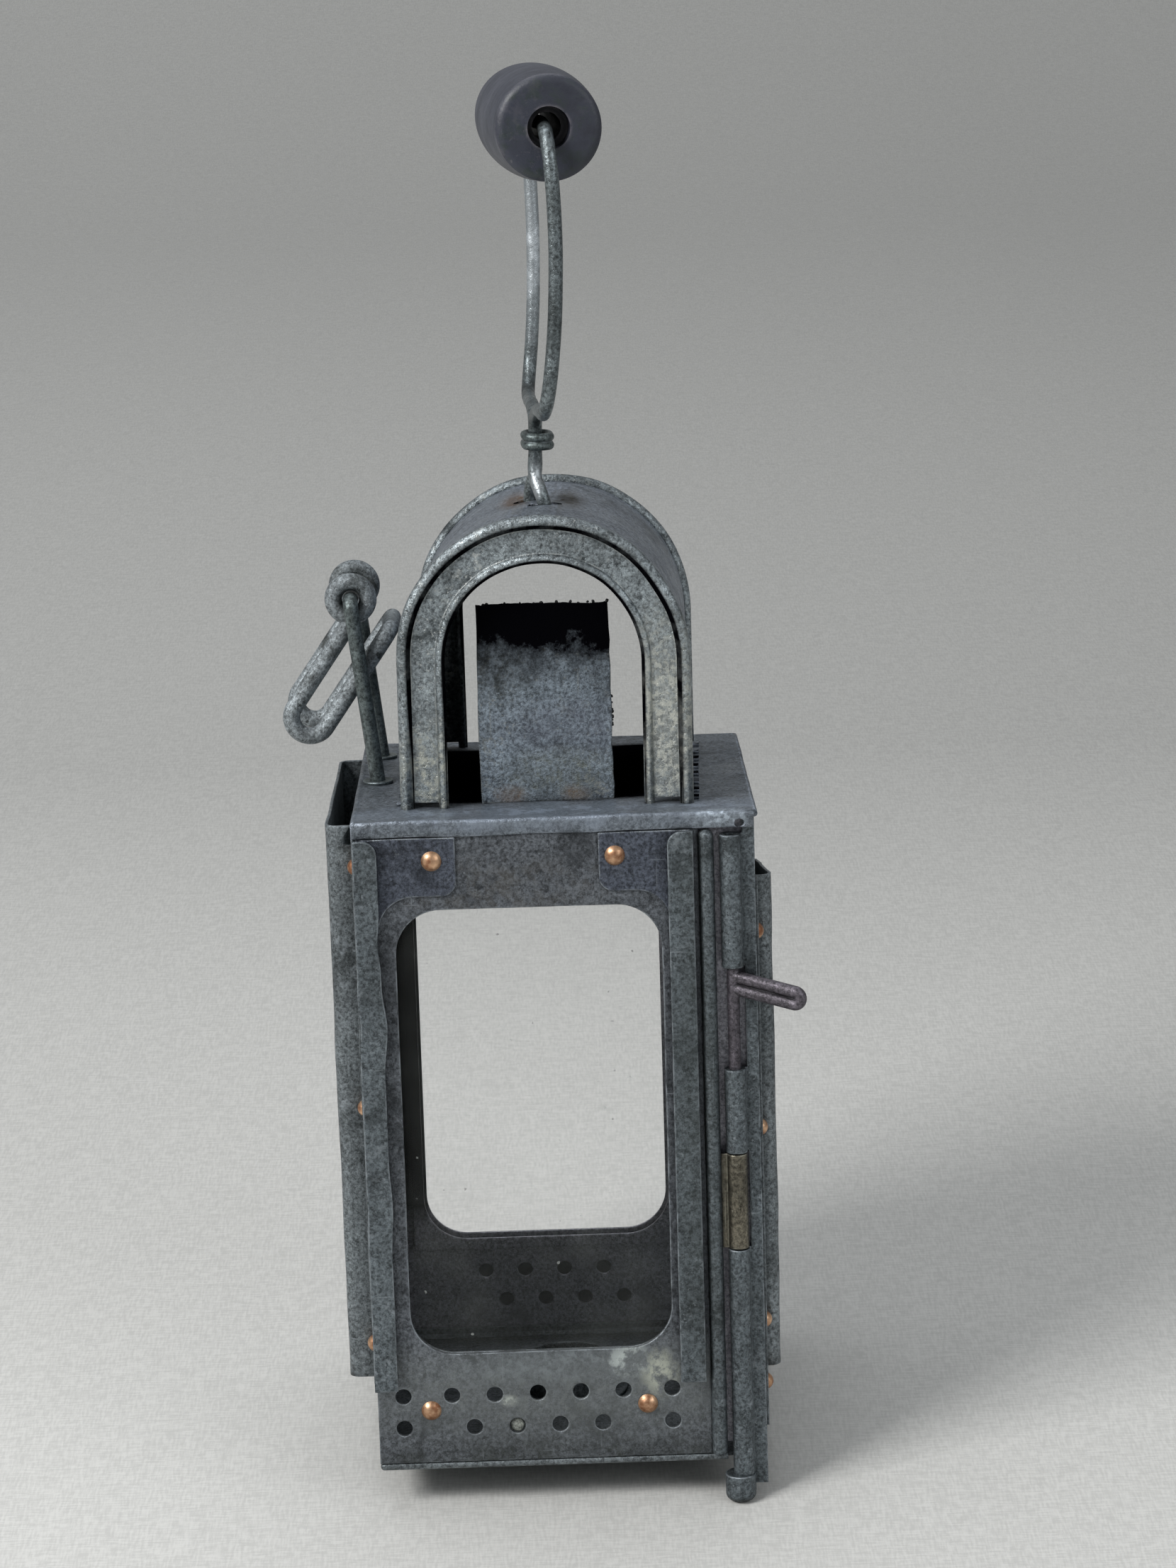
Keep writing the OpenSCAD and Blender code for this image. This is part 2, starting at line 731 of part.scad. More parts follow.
// An arch: the ring's upper half on two straight legs, its inside and all below its feet cut away
module arch_outline(outer, inner) {
    difference() {
        union() {
            circle(outer);
            translate([-outer, -hood_leg]) square([2 * outer, hood_leg]);
        }
        circle(inner);
        translate([-inner, -hood_leg - cut]) square([2 * inner, hood_leg + cut]);
        translate([-outer - cut, -hood_leg - outer - cut]) square([2 * (outer + cut), outer + cut]);
    }
}

// Puts its children in the hood's slightly turned frame
module at_hood() {
    middle_y = (hood_front + hood_back) / 2;
    translate([0.15, middle_y, 0]) rotate([0, 0, hood_yaw]) translate([0, -middle_y, 0])
        children();
}

// An arched rod that follows the same line, standing on the roof
module arch_bead(mean_r, r) {
    rotate([90, 0, 0]) bend(mean_r, r, 180);
    for (x = [-mean_r, mean_r]) upright(x, 0, -hood_leg, eps, r);
}

module hood_strip() {
    tab_w = 3.2;
    tab_out = 2.6;
    tab_in = 3;
    tab_step = (strip_y1 - strip_y0 - 2 * tab_in) / (hood_tabs - 1);
    color(steel) difference() {
        at_hood() {
            translate([0, strip_y1, hood_z]) rotate([90, 0, 0])
                linear_extrude(strip_y1 - strip_y0) arch_outline(strip_r, strip_r - strip_t);
            for (side = [-1, 1], i = [0 : hood_tabs - 1]) {
                x0 = side > 0 ? strip_r - eps : -strip_r - tab_out;
                y0 = strip_y0 + tab_in + i * tab_step;
                slab(x0, x0 + tab_out + eps, y0 - tab_w / 2, y0 + tab_w / 2,
                    body_h, body_h + trim_sheet);
            }
        }
        for (side = [-1, 1])
            translate([bail_x, 0, hood_z]) rotate([0, 0, bail_yaw + ring_turn])
                translate([0, side * ring_r, 0]) linear_extrude(strip_r + cut)
                    ring_slot_outline();
    }
}

// The slot one side of the ring goes through, long in the direction it tilts
module ring_slot_outline() {
    slot_r = bail_r + 0.2;
    end_x = ring_slot / 2 - slot_r;
    for (x = [-end_x, end_x]) translate([x, 0]) circle(slot_r);
    translate([-end_x, -slot_r]) square([2 * end_x, 2 * slot_r]);
}

// One end frame of the hood: a flanged sheet arch with a bead round each edge, set back by back
module arch_frame(y, back) {
    color(steel) at_hood() translate([0, y, hood_z]) {
        translate([0, sheet / 2 + back, 0]) rotate([90, 0, 0]) linear_extrude(sheet)
            difference() {
                arch_outline(frame_r, frame_inner_r);
                translate([-frame_r, -hood_leg - cut]) square([2 * frame_r, flange_gap + cut]);
            }
        arch_bead(frame_r, hood_bead_r);
        arch_bead(frame_inner_r, inner_bead_r);
    }
}

module hood_front_frame() {
    arch_frame(hood_front + hood_bead_r, flange_set_back);
}

module hood_back_frame() {
    arch_frame(hood_back - hood_bead_r, -flange_set_back);
}

module baffle() {
    foot_d = 4;
    y0 = hood_front + baffle_in;
    x0 = baffle_x - baffle_w / 2;
    color(steel) {
        slab(x0, x0 + baffle_w, y0, y0 + sheet, body_h, body_h + baffle_h);
        slab(x0, x0 + baffle_w, y0 + sheet - eps, y0 + sheet + foot_d, body_h, body_h + sheet);
    }
}

// ---------- Glass ----------

// A pane, its face towards the sheet at y, and dir pointing inwards
module pane(y, dir) {
    y0 = dir > 0 ? y : y - glass_t;
    color(clear_glass) slab(window_left - glass_lap, window_right + glass_lap,
        y0, y0 + glass_t, window_z - glass_lap, window_z + window_h + glass_lap);
}

// The channel frame that holds a pane against the sheet
module pane_frame(y, dir) {
    t = trim_sheet;
    lap = glass_lap + 0.05;
    depth = glass_t + 0.05;
    y0 = dir > 0 ? y : y - depth - t;
    lip_y = dir > 0 ? y + depth : y - depth - t;
    color(steel) {
        difference() {
            slab(window_left - lap - t, window_right + lap + t, y0, y0 + depth + t,
                window_z - lap - t, window_z + window_h + lap + t);
            slab(window_left - lap, window_right + lap, y0 - cut, y0 + depth + t + cut,
                window_z - lap, window_z + window_h + lap);
        }
        plate_xz(lip_y, t) difference() {
            translate([window_left - lap - eps, window_z - lap - eps])
                square([window_w + 2 * lap + 2 * eps, window_h + 2 * lap + 2 * eps]);
            window_outline(0.6);
        }
    }
}

module front_glass() {
    pane(y_front + sheet, 1);
}

module back_glass() {
    translate([back_window_right, 0, 0]) pane(y_back - sheet, -1);
}

module front_pane_frame() {
    pane_frame(y_front + sheet, 1);
}

module back_pane_frame() {
    translate([back_window_right, 0, 0]) pane_frame(y_back - sheet, -1);
}

module candle_cup() {
    wall = trim_sheet;
    color(steel) translate([baffle_x, draught_y, sheet]) difference() {
        union() {
            cylinder(r = cup_r + 4.2, h = wall);
            cylinder(r = cup_r + wall, h = wall + cup_h);
        }
        translate([0, 0, wall]) cylinder(r = cup_r, h = cup_h + cut);
    }
}

// ---------- Belt hook ----------

module hook_staple() {
    top = staple_h - staple_bend;
    color(wire_steel) translate([staple_x, staple_y, body_h]) rotate([0, -staple_lean, 0]) {
        for (y = [0, staple_w]) upright(0, y, -2.4, top, staple_r);
        rod_y(0, staple_bend, staple_w - staple_bend, staple_h, staple_r);
        translate([0, staple_bend, top]) rotate([90, 0, -90]) bend(staple_bend, staple_r, 90);
        translate([0, staple_w - staple_bend, top]) rotate([90, 0, 90])
            bend(staple_bend, staple_r, 90);
    }
}

module staple_washers() {
    color(wire_steel) for (y = [0, staple_w]) difference() {
        translate([staple_x, staple_y + y, body_h]) cylinder(r = 2 * staple_r, h = trim_sheet);
        staple_bores(staple_r + 0.05);
    }
}

// One side of the hook in its own slanted frame: eye, arm down, bend and arm back up
module hook_side(y) {
    back_x = arm_x + 2 * hook_bend;
    translate([0, y, 0]) {
        rotate([90, 0, 0]) bend(eye_r, hook_r, 360);
        upright(arm_x, 0, -hook_arm, -eye_r + 0.9, hook_r);
        translate([arm_x + hook_bend, 0, -hook_arm]) rotate([-90, 0, 0])
            bend(hook_bend, hook_r, 180);
        upright(back_x, 0, -hook_arm, hook_return - hook_arm - hook_end_bend, hook_r);
    }
}

module belt_hook() {
    y0 = eye_in;
    y1 = staple_w - eye_in;
    back_x = arm_x + 2 * hook_bend;
    end_z = hook_return - hook_arm;
    color(wire_steel) translate([pivot_x, staple_y, pivot_z]) rotate([0, hook_slant, 0]) {
        hook_side(y0);
        hook_side(y1);
        rod_y(back_x, y0 + hook_end_bend, y1 - hook_end_bend, end_z, hook_r);
        translate([back_x, y0 + hook_end_bend, end_z - hook_end_bend])
            rotate([90, 0, -90]) bend(hook_end_bend, hook_r, 90);
        translate([back_x, y1 - hook_end_bend, end_z - hook_end_bend])
            rotate([90, 0, 90]) bend(hook_end_bend, hook_r, 90);
    }
}

// ---------- Door ----------

module door_panel() {
    color(steel) difference() {
        union() {
            slab(x_right - sheet, x_right, web_y + eps, hinge_y - hinge_cut, door_z, leaf_top);
            slab(flange_x, x_right, web_y, web_y + tube_web, low_tube_z + 1.6, leaf_top);
            door_tube(low_tube_z, low_tube_top);
            door_tube(mid_tube_z, gap_z);
            door_tube(high_tube_z, door_top);
            door_knuckle(door_z + 3, hinge_low - gap);
            door_knuckle(hinge_low + hinge_len + gap, hinge_high - gap);
            door_knuckle(hinge_high + hinge_len + gap, door_top - 1);
        }
        upright(tube_x, tube_y, low_tube_z - cut, body_h, tube_bore_r);
        upright(hinge_x, hinge_y, 0, body_h, pin_r + pin_clear);
        at_door_rivets(x_right) rivet_hole(sheet);
    }
}

// A length of the door's rolled front edge, with its web to the corner flange
module door_tube(z0, z1) {
    upright(tube_x, tube_y, z0, z1, tube_r);
    slab(tube_x + tube_r / 2, flange_x + eps, web_y, web_y + tube_web, z0, z1);
}

// A length of the door's hinge edge
module door_knuckle(z0, z1) {
    hinge_tube(z0, z1);
    slab(x_right - sheet, x_right, hinge_y - hinge_cut - eps, hinge_y, z0, z1);
}

module door_foot() {
    cup_t = 1.6;
    color(steel) translate([foot_x, tube_y, -foot_drop]) difference() {
        union() {
            cylinder(r = foot_r - cup_t, h = cup_t);
            translate([0, 0, cup_t]) bend(foot_r - cup_t, cup_t, 360);
            translate([0, 0, cup_t]) cylinder(r = foot_r, h = foot_drop - cup_t - 3);
        }
        translate([tube_x - foot_x, 0, low_tube_z + foot_drop]) cylinder(r = tube_r, h = foot_drop);
        slab(flange_x - foot_x, foot_r + cut, -foot_r, foot_r, low_tube_z + foot_drop, foot_drop);
        slab(tube_x - foot_x, foot_r + cut, web_y - tube_y, web_y - tube_y + tube_web,
            low_tube_z + foot_drop, foot_drop);
    }
}

module door_pocket() {
    slope_y0 = door_pocket_y - door_pocket_d / 2 + 2.4;
    slope_y1 = door_pocket_y + door_pocket_d / 2 + seat;
    color(steel) difference() {
        translate([x_right, door_pocket_y, 0]) pocket(door_pocket_out, door_pocket_d,
            door_pocket_z, door_pocket_top, door_flange_z, door_pocket_top);
        at_door_rivets(x_right + trim_sheet) rivet_hole(trim_sheet);
        translate([x_right + trim_sheet, 0, 0]) rotate([90, 0, 90])
            linear_extrude(door_pocket_out + cut) polygon([
                [slope_y0, door_pocket_top + eps],
                [slope_y1, door_pocket_top - door_pocket_fall],
                [slope_y1, door_pocket_top + cut],
                [slope_y0, door_pocket_top + cut]]);
    }
}

module door_rivets() {
    color(copper) at_door_rivets(x_right + trim_sheet)
        rivet(rivet_head_r - 0.4, trim_sheet + sheet);
}

module hinge_pin() {
    color(wire_steel) {
        upright(hinge_x, hinge_y, door_z + 2.6, door_top + 0.6, pin_r);
        upright(hinge_x, hinge_y, door_top + 0.6 - eps, door_top + 1.6, pin_r + 0.8);
    }
}

// The bolt: a rod in the lower tubes, a looped wire handle welded to it and a rod above
module latch_bolt() {
    loop_r = bolt_r + 0.05;
    strand_z = high_tube_z - 0.8 - bolt_r;
    loop_z = strand_z - loop_r;
    bottom_z = mid_tube_z + 0.4;
    color(wire_steel) translate([tube_x, tube_y, 0]) {
        upright(0, 0, bottom_z, high_tube_z + bolt_travel + 3, bolt_r);
        translate([0, 0, loop_z]) rotate([0, 0, -handle_turn]) rotate([0, handle_slope, 0]) {
            for (z = [-loop_r, loop_r]) rod_x(0, handle_len - loop_r, 0, z, bolt_r);
            translate([handle_len - loop_r, 0, 0]) rotate([90, 0, 0])
                rotate([0, 0, -90]) bend(loop_r, bolt_r, 180);
        }
    }
}

// ---------- Bail and grip ----------

// Puts its children in the bail's frame, at the ring's middle
module at_bail() {
    translate([bail_x, 0, ring_z]) rotate([0, 0, bail_yaw]) rotate([0, bail_lean, 0])
        children();
}

// Half of the bail on the side where y is positive
module bail_half() {
    stem_z = bar_z - stem_bend;
    upright(0, bail_r + stem_gap, ring_r - bail_r / 2, stem_z, bail_r);
    translate([0, bail_r + stem_gap + stem_bend, stem_z]) rotate([90, 0, -90])
        bend(stem_bend, bail_r, 90);
    rod_y(0, bail_r + stem_gap + stem_bend, bail_side - bail_bend, bar_z, bail_r);
    translate([0, bail_side - bail_bend, bar_z + bail_bend]) rotate([0, 90, 0])
        bend(bail_bend, bail_r, 90);
    upright(0, bail_side, bar_z + bail_bend, top_z - bail_bend, bail_r);
    translate([0, bail_side - bail_bend, top_z - bail_bend]) rotate([90, 0, 90])
        bend(bail_bend, bail_r, 90);
    }

module bail_wire() {
    color(wire_steel) at_bail() {
        rotate([0, 0, ring_turn]) rotate([0, 90, 0]) bend(ring_r, bail_r, 360);
        bail_half();
        rotate([0, 0, 180]) bail_half();
        rod_y(0, bail_bend - bail_side, bail_side - bail_bend, top_z, bail_r);
    }
}

// Two turns of thinner wire round the bail's stem
module bail_collar() {
    half_x = bail_r + 0.1 + collar_r;
    half_y = 2 * bail_r + stem_gap + 0.1 + collar_r - half_x;
    middle_z = bar_z - stem_bend - 5.4;
    color(wire_steel) at_bail() for (z = [-1, 1] * (collar_r - 0.05)) translate([0, 0, middle_z + z]) {
        translate([0, half_y, 0]) bend(half_x, collar_r, 180);
        translate([0, -half_y, 0]) rotate([0, 0, 180]) bend(half_x, collar_r, 180);
        for (x = [-half_x, half_x]) rod_y(x, -half_y, half_y, 0, collar_r);
    }
}

// A turned barrel: a wide arc for its side, round shoulders and flat ends
module grip() {
    half = grip_len / 2;
    shoulder = 2.2;
    mouth_d = 7;
    swell = grip_r - grip_end_r - shoulder * 0.2;
    side_r = (half * half + swell * swell) / (2 * swell);
    color(grip_blue) at_bail() translate([0, 0, top_z - grip_drop]) rotate([90, 0, 0])
        rotate_extrude() difference() {
            intersection() {
                translate([grip_r - side_r, 0]) circle(side_r, $fn = 720);
                union() {
                    translate([0, -half + shoulder])
                        square([grip_r + 1, grip_len - 2 * shoulder]);
                    translate([0, -half]) square([grip_end_r - shoulder * 0.6, grip_len]);
                    for (y = [-half + shoulder, half - shoulder])
                        translate([grip_end_r - shoulder * 0.6, y]) circle(shoulder);
                }
            }
            translate([-grip_r, -half - cut]) square([grip_r + grip_bore_r, grip_len + 2 * cut]);
            for (y = [-half - cut, half - mouth_d])
                translate([-grip_r, y]) square([grip_r + grip_mouth_r, mouth_d + cut]);
        }
}

base_tray();
floor_lugs();
front_panel();
back_panel();
left_wall();
front_post();
door_jamb();
back_vent_guard();
latch_knuckle();
left_guide();
right_guide();
left_gusset();
right_gusset();
front_rivets();
left_pocket();
left_rivets();
roof_plate();
hood_strip();
hood_front_frame();
hood_back_frame();
baffle();
front_glass();
back_glass();
front_pane_frame();
back_pane_frame();
candle_cup();
hinge_pin();
hook_staple();
staple_washers();
door_panel();
door_foot();
door_pocket();
door_rivets();
latch_bolt();
bail_wire();
bail_collar();
grip();
belt_hook();
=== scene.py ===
import json
import math

import bpy
from mathutils import Matrix, Vector, noise


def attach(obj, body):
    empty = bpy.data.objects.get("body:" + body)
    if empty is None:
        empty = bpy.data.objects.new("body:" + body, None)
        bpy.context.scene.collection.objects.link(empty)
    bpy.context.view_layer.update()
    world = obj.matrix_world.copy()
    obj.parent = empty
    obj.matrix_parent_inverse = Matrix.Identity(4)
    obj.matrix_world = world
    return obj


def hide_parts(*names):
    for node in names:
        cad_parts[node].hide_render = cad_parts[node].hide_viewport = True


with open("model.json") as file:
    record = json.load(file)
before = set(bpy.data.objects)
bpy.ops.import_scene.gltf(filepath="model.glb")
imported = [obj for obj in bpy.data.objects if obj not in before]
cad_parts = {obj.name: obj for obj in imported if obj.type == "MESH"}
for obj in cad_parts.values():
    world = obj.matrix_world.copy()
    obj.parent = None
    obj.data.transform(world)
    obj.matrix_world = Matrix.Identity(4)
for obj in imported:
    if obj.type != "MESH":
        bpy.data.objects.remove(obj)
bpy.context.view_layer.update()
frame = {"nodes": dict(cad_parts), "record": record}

MM = 0.001
nodes = frame["nodes"]

# Without a seed of its own, noise_vector gives another field each run.
NOISE_SEED = 7
noise.seed_set(NOISE_SEED)

# ---------------------------------------------------------------- shader helpers


class Shader:
    """A short way to add nodes to a material's or a group's tree and link them."""

    def __init__(self, tree):
        self.tree = tree

    def add(self, kind, inputs=None, **settings):
        n = self.tree.nodes.new(kind)
        for key, value in settings.items():
            setattr(n, key, value)
        for key, value in (inputs or {}).items():
            self.put(n.inputs[key], value)
        return n

    def put(self, socket, value):
        if isinstance(value, bpy.types.NodeSocket):
            self.tree.links.new(value, socket)
        else:
            socket.default_value = value

    def math(self, op, a, b=0.0, clamp=False):
        return self.add("ShaderNodeMath", {0: a, 1: b}, operation=op, use_clamp=clamp).outputs[0]

    def plus(self, a, b, clamp=False):
        return self.math("ADD", a, b, clamp)

    def minus(self, a, b):
        return self.math("SUBTRACT", a, b)

    def times(self, a, b, clamp=False):
        return self.math("MULTIPLY", a, b, clamp)

    def larger(self, a, b, clamp=False):
        return self.math("MAXIMUM", a, b, clamp)

    def unsigned(self, a):
        return self.math("ABSOLUTE", a)

    def noise(self, vector, scale, detail=4.0, roughness=0.55, distortion=0.0):
        n = self.add(
            "ShaderNodeTexNoise",
            {
                "Vector": vector,
                "Scale": scale,
                "Detail": detail,
                "Roughness": roughness,
                "Distortion": distortion,
            },
        )
        return n.outputs["Fac"]

    def ramp(self, value, low, high, out_low=0.0, out_high=1.0):
        """A straight ramp that stays at its ends; low may be above high."""
        n = self.add(
            "ShaderNodeMapRange",
            {
                "Value": value,
                "From Min": low,
                "From Max": high,
                "To Min": out_low,
                "To Max": out_high,
            },
            clamp=True,
        )
        return n.outputs["Result"]

    def mix(self, factor, a, b, blend="MIX"):
        n = self.add(
            "ShaderNodeMix", {0: factor, 6: a, 7: b}, data_type="RGBA", blend_type=blend
        )
        return n.outputs[2]

    def dot(self, a, b):
        n = self.add("ShaderNodeVectorMath", {0: a, 1: b}, operation="DOT_PRODUCT")
        return n.outputs["Value"]

    def split(self, vector):
        return self.add("ShaderNodeSeparateXYZ", {"Vector": vector}).outputs

    def tint(self, x, y, z):
        return self.add("ShaderNodeCombineXYZ", {"X": x, "Y": y, "Z": z}).outputs["Vector"]

    def stretched(self, vector, scale):
        return self.add("ShaderNodeMapping", {"Vector": vector, "Scale": scale}).outputs["Vector"]

    def patch(self, vector, centre, size):
        """A soft-edged oval: 1 at its middle, 0 outside."""
        back = tuple(-c / s for c, s in zip(centre, size))
        scale = tuple(1.0 / s for s in size)
        n = self.add("ShaderNodeMapping", {"Vector": vector, "Location": back, "Scale": scale})
        far = self.add("ShaderNodeVectorMath", {0: n.outputs["Vector"]}, operation="LENGTH")
        return self.ramp(far.outputs["Value"], 1.0, 0.35)

    def facing(self, vector):
        """How far the surface's own normal points along a vector."""
        return self.dot(self.add("ShaderNodeTexCoord").outputs["Normal"], vector)


def rgb(r, g, b):
    """A colour written as 0-255 screen values, made linear."""

    def lin(c):
        c /= 255.0
        return c / 12.92 if c <= 0.04045 else ((c + 0.055) / 1.055) ** 2.4

    return (lin(r), lin(g), lin(b), 1.0)


# The first dark colour serves both grime and the painted shade in hollows.
GRIME_AND_SHADE = rgb(30, 34, 34)
# The zinc colour serves both pale wear and painted edge highlights.
ZINC_AND_EDGE_HIGHLIGHT = rgb(168, 176, 182)
RUST = rgb(92, 74, 58)
# Near-black for soot and for painted shade.
SOOT_AND_SHADE = (0.0015, 0.0015, 0.0022, 1.0)

# ---------------------------------------------------------------- shader groups

FLOAT = "NodeSocketFloat"
VECTOR = "NodeSocketVector"
CREVICE_SHADE_REACH = 4.0 * MM


def new_group(name, sockets_in, sockets_out):
    """An empty shader group with its sockets, given as name: kind."""
    tree = bpy.data.node_groups.new(name, "ShaderNodeTree")
    for way, sockets in (("INPUT", sockets_in), ("OUTPUT", sockets_out)):
        for label, kind in sockets.items():
            tree.interface.new_socket(name=label, in_out=way, socket_type=kind)
    sh = Shader(tree)
    return tree, sh, sh.add("NodeGroupInput").outputs, sh.add("NodeGroupOutput").inputs


def grime_and_crevice_shade(sh, at, mid, pits, given):
    """Grime in pits and blotches, and painted shade in the hollows between pieces."""
    blotch = sh.ramp(sh.noise(at, 70.0, 6.0, 0.7, 0.4), 0.52, 0.66)
    dark = sh.times(sh.larger(pits, blotch), given["Grime"], True)
    # Ambient occlusion darkens the hollows between pieces: painted shade.
    occlusion = sh.add("ShaderNodeAmbientOcclusion", {"Distance": CREVICE_SHADE_REACH}, samples=6)
    hollow_shade = sh.ramp(occlusion.outputs["AO"], 0.80, 0.35)
    hollow_shade = sh.times(hollow_shade, sh.ramp(mid, 0.30, 0.50, 0.5, 1.0))
    return sh.larger(dark, sh.times(hollow_shade, given["Crevices"], True))


def tarnish_pale(sh, at, given):
    """Pale flecks and finer dots, each kind in zones of its own, and thin scratches."""
    flecks = sh.ramp(sh.noise(at, 260.0, 3.0, 0.8), 0.56, 0.66)
    fleck_zone = sh.ramp(sh.noise(at, 34.0, 3.0), 0.50, 0.68)
    dots = sh.ramp(sh.noise(at, 850.0, 3.0, 0.8), 0.58, 0.68)
    dot_zone = sh.ramp(sh.noise(at, 55.0, 3.0), 0.42, 0.58)
    pale = sh.larger(sh.times(flecks, fleck_zone), sh.times(sh.times(dots, dot_zone), 0.8))
    pale = sh.times(pale, given["Flecks"], True)
    upright = sh.stretched(at, (900.0, 900.0, 30.0))
    level = sh.stretched(at, (60.0, 60.0, 1100.0))
    lines = sh.larger(
        sh.ramp(sh.noise(upright, 1.0, 2.0), 0.70, 0.76),
        sh.ramp(sh.noise(level, 1.0, 2.0), 0.72, 0.78),
    )
    return sh.larger(pale, sh.times(lines, given["Scratches"], True))


def build_tarnish_group():
    """Old tinned sheet gone grey: cloudy tone, grime and painted shade, pale flecks, scratches,
    height.
    """
    tree, sh, given, out = new_group(
        "tarnish",
        {
            "Vector": VECTOR,
            "Cloud Scale": FLOAT,
            "Grime": FLOAT,
            "Flecks": FLOAT,
            "Scratches": FLOAT,
            "Crevices": FLOAT,
        },
        {"Tone": FLOAT, "Grain": FLOAT, "Grime And Shade": FLOAT, "Pale": FLOAT, "Height": FLOAT},
    )
    at = given["Vector"]
    cloud = sh.noise(at, given["Cloud Scale"], 5.0, 0.6)
    fine = sh.noise(at, 420.0, 4.0, 0.7)
    mid = sh.noise(at, 240.0, 5.0, 0.7)
    tone = sh.plus(sh.times(cloud, 0.55), sh.times(mid, 0.45))
    grain = sh.ramp(sh.noise(at, 1300.0, 3.0, 0.8), 0.36, 0.64)
    pits = sh.ramp(fine, 0.58, 0.68)
    height = sh.plus(sh.times(fine, 0.5), sh.times(mid, 0.6))
    height = sh.plus(height, sh.times(grain, 0.18))
    height = sh.minus(height, sh.times(pits, 0.25))
    sh.put(out["Tone"], sh.ramp(tone, 0.35, 0.65))
    sh.put(out["Grain"], grain)
    sh.put(out["Grime And Shade"], grime_and_crevice_shade(sh, at, mid, pits, given))
    sh.put(out["Pale"], tarnish_pale(sh, at, given))
    sh.put(out["Height"], height)
    return tree


def build_edge_group():
    """Worn edges and painted edge highlights: where the rounded normal leaves the flat one, broken
    by noise.
    """
    tree, sh, given, out = new_group(
        "worn_and_highlit_edges",
        {"Vector": VECTOR, "Radius": FLOAT, "Amount": FLOAT},
        {"Wear And Highlight": FLOAT, "Normal": VECTOR},
    )
    rounded = sh.add("ShaderNodeBevel", {"Radius": given["Radius"]}, samples=6).outputs["Normal"]
    flat = sh.add("ShaderNodeNewGeometry").outputs["Normal"]
    bent = sh.ramp(sh.dot(rounded, flat), 0.995, 0.86)
    broken = sh.ramp(sh.noise(given["Vector"], 220.0, 4.0, 0.7), 0.40, 0.60)
    sh.put(out["Wear And Highlight"], sh.times(sh.times(bent, broken), given["Amount"], True))
    sh.put(out["Normal"], rounded)
    return tree


tarnish_group = build_tarnish_group()
edge_group = build_edge_group()

# ---------------------------------------------------------------- the metals' recipe

EDGE_RADIUS = 0.6 * MM
METAL_BUMP_DEPTH = 0.6 * MM
GRAIN_SHADES = (0.42, 1.66)
TONE_ROUGHNESS = 0.14
LIFT_PER_CONTRAST = 0.9
DROP_PER_CONTRAST = 0.5


def new_material(name):
    """An empty material: itself, its shader helper, its surface node, its place in metres."""
    mat = bpy.data.materials.new(name)
    mat.use_nodes = True
    mat.node_tree.nodes.clear()
    sh = Shader(mat.node_tree)
    bsdf = sh.add("ShaderNodeBsdfPrincipled")
    sh.add("ShaderNodeOutputMaterial", {"Surface": bsdf.outputs["BSDF"]})
    at = sh.add("ShaderNodeTexCoord").outputs["Object"]
    return mat, sh, bsdf, at


def add_tarnish(sh, at, cloud_scale, grime, flecks, scratches, crevice_shade):
    """Puts the tarnish group into a material, and gives its outputs."""
    inputs = {
        "Vector": at,
        "Cloud Scale": cloud_scale,
        "Grime": grime,
        "Flecks": flecks,
        "Scratches": scratches,
        "Crevices": crevice_shade,
    }
    return sh.add("ShaderNodeGroup", inputs, node_tree=tarnish_group).outputs


def add_worn_and_highlit_edges(sh, at, radius, amount):
    """Puts the group of worn edges with painted highlights into a material, and gives its outputs.
    """
    inputs = {"Vector": at, "Radius": radius, "Amount": amount}
    return sh.add("ShaderNodeGroup", inputs, node_tree=edge_group).outputs


def add_bump(sh, bsdf, height, strength, depth, normal=None):
    bump = sh.add("ShaderNodeBump", {"Height": height, "Strength": strength, "Distance": depth})
    if normal is not None:
        sh.put(bump.inputs["Normal"], normal)
    sh.put(bsdf.inputs["Normal"], bump.outputs["Normal"])


def colour_patch(at, size, amount, colour, scale=260.0, solid=0.0, dull=False):
    """One patch of another colour: an oval in metres, broken up by noise unless it is solid."""
    return {
        "at": at,
        "size": size,
        "amount": amount,
        "colour": colour,
        "scale": scale,
        "solid": solid,
        "dull": dull,
    }


def patch_mask(sh, at, spot):
    """How strongly a patch covers each place, 0 to 1."""
    broken = sh.ramp(sh.noise(at, spot["scale"], 5.0, 0.7), 0.44, 0.58)
    broken = sh.larger(broken, spot["solid"])
    oval = sh.patch(at, spot["at"], spot["size"])
    return sh.times(sh.times(oval, broken), spot["amount"], True)


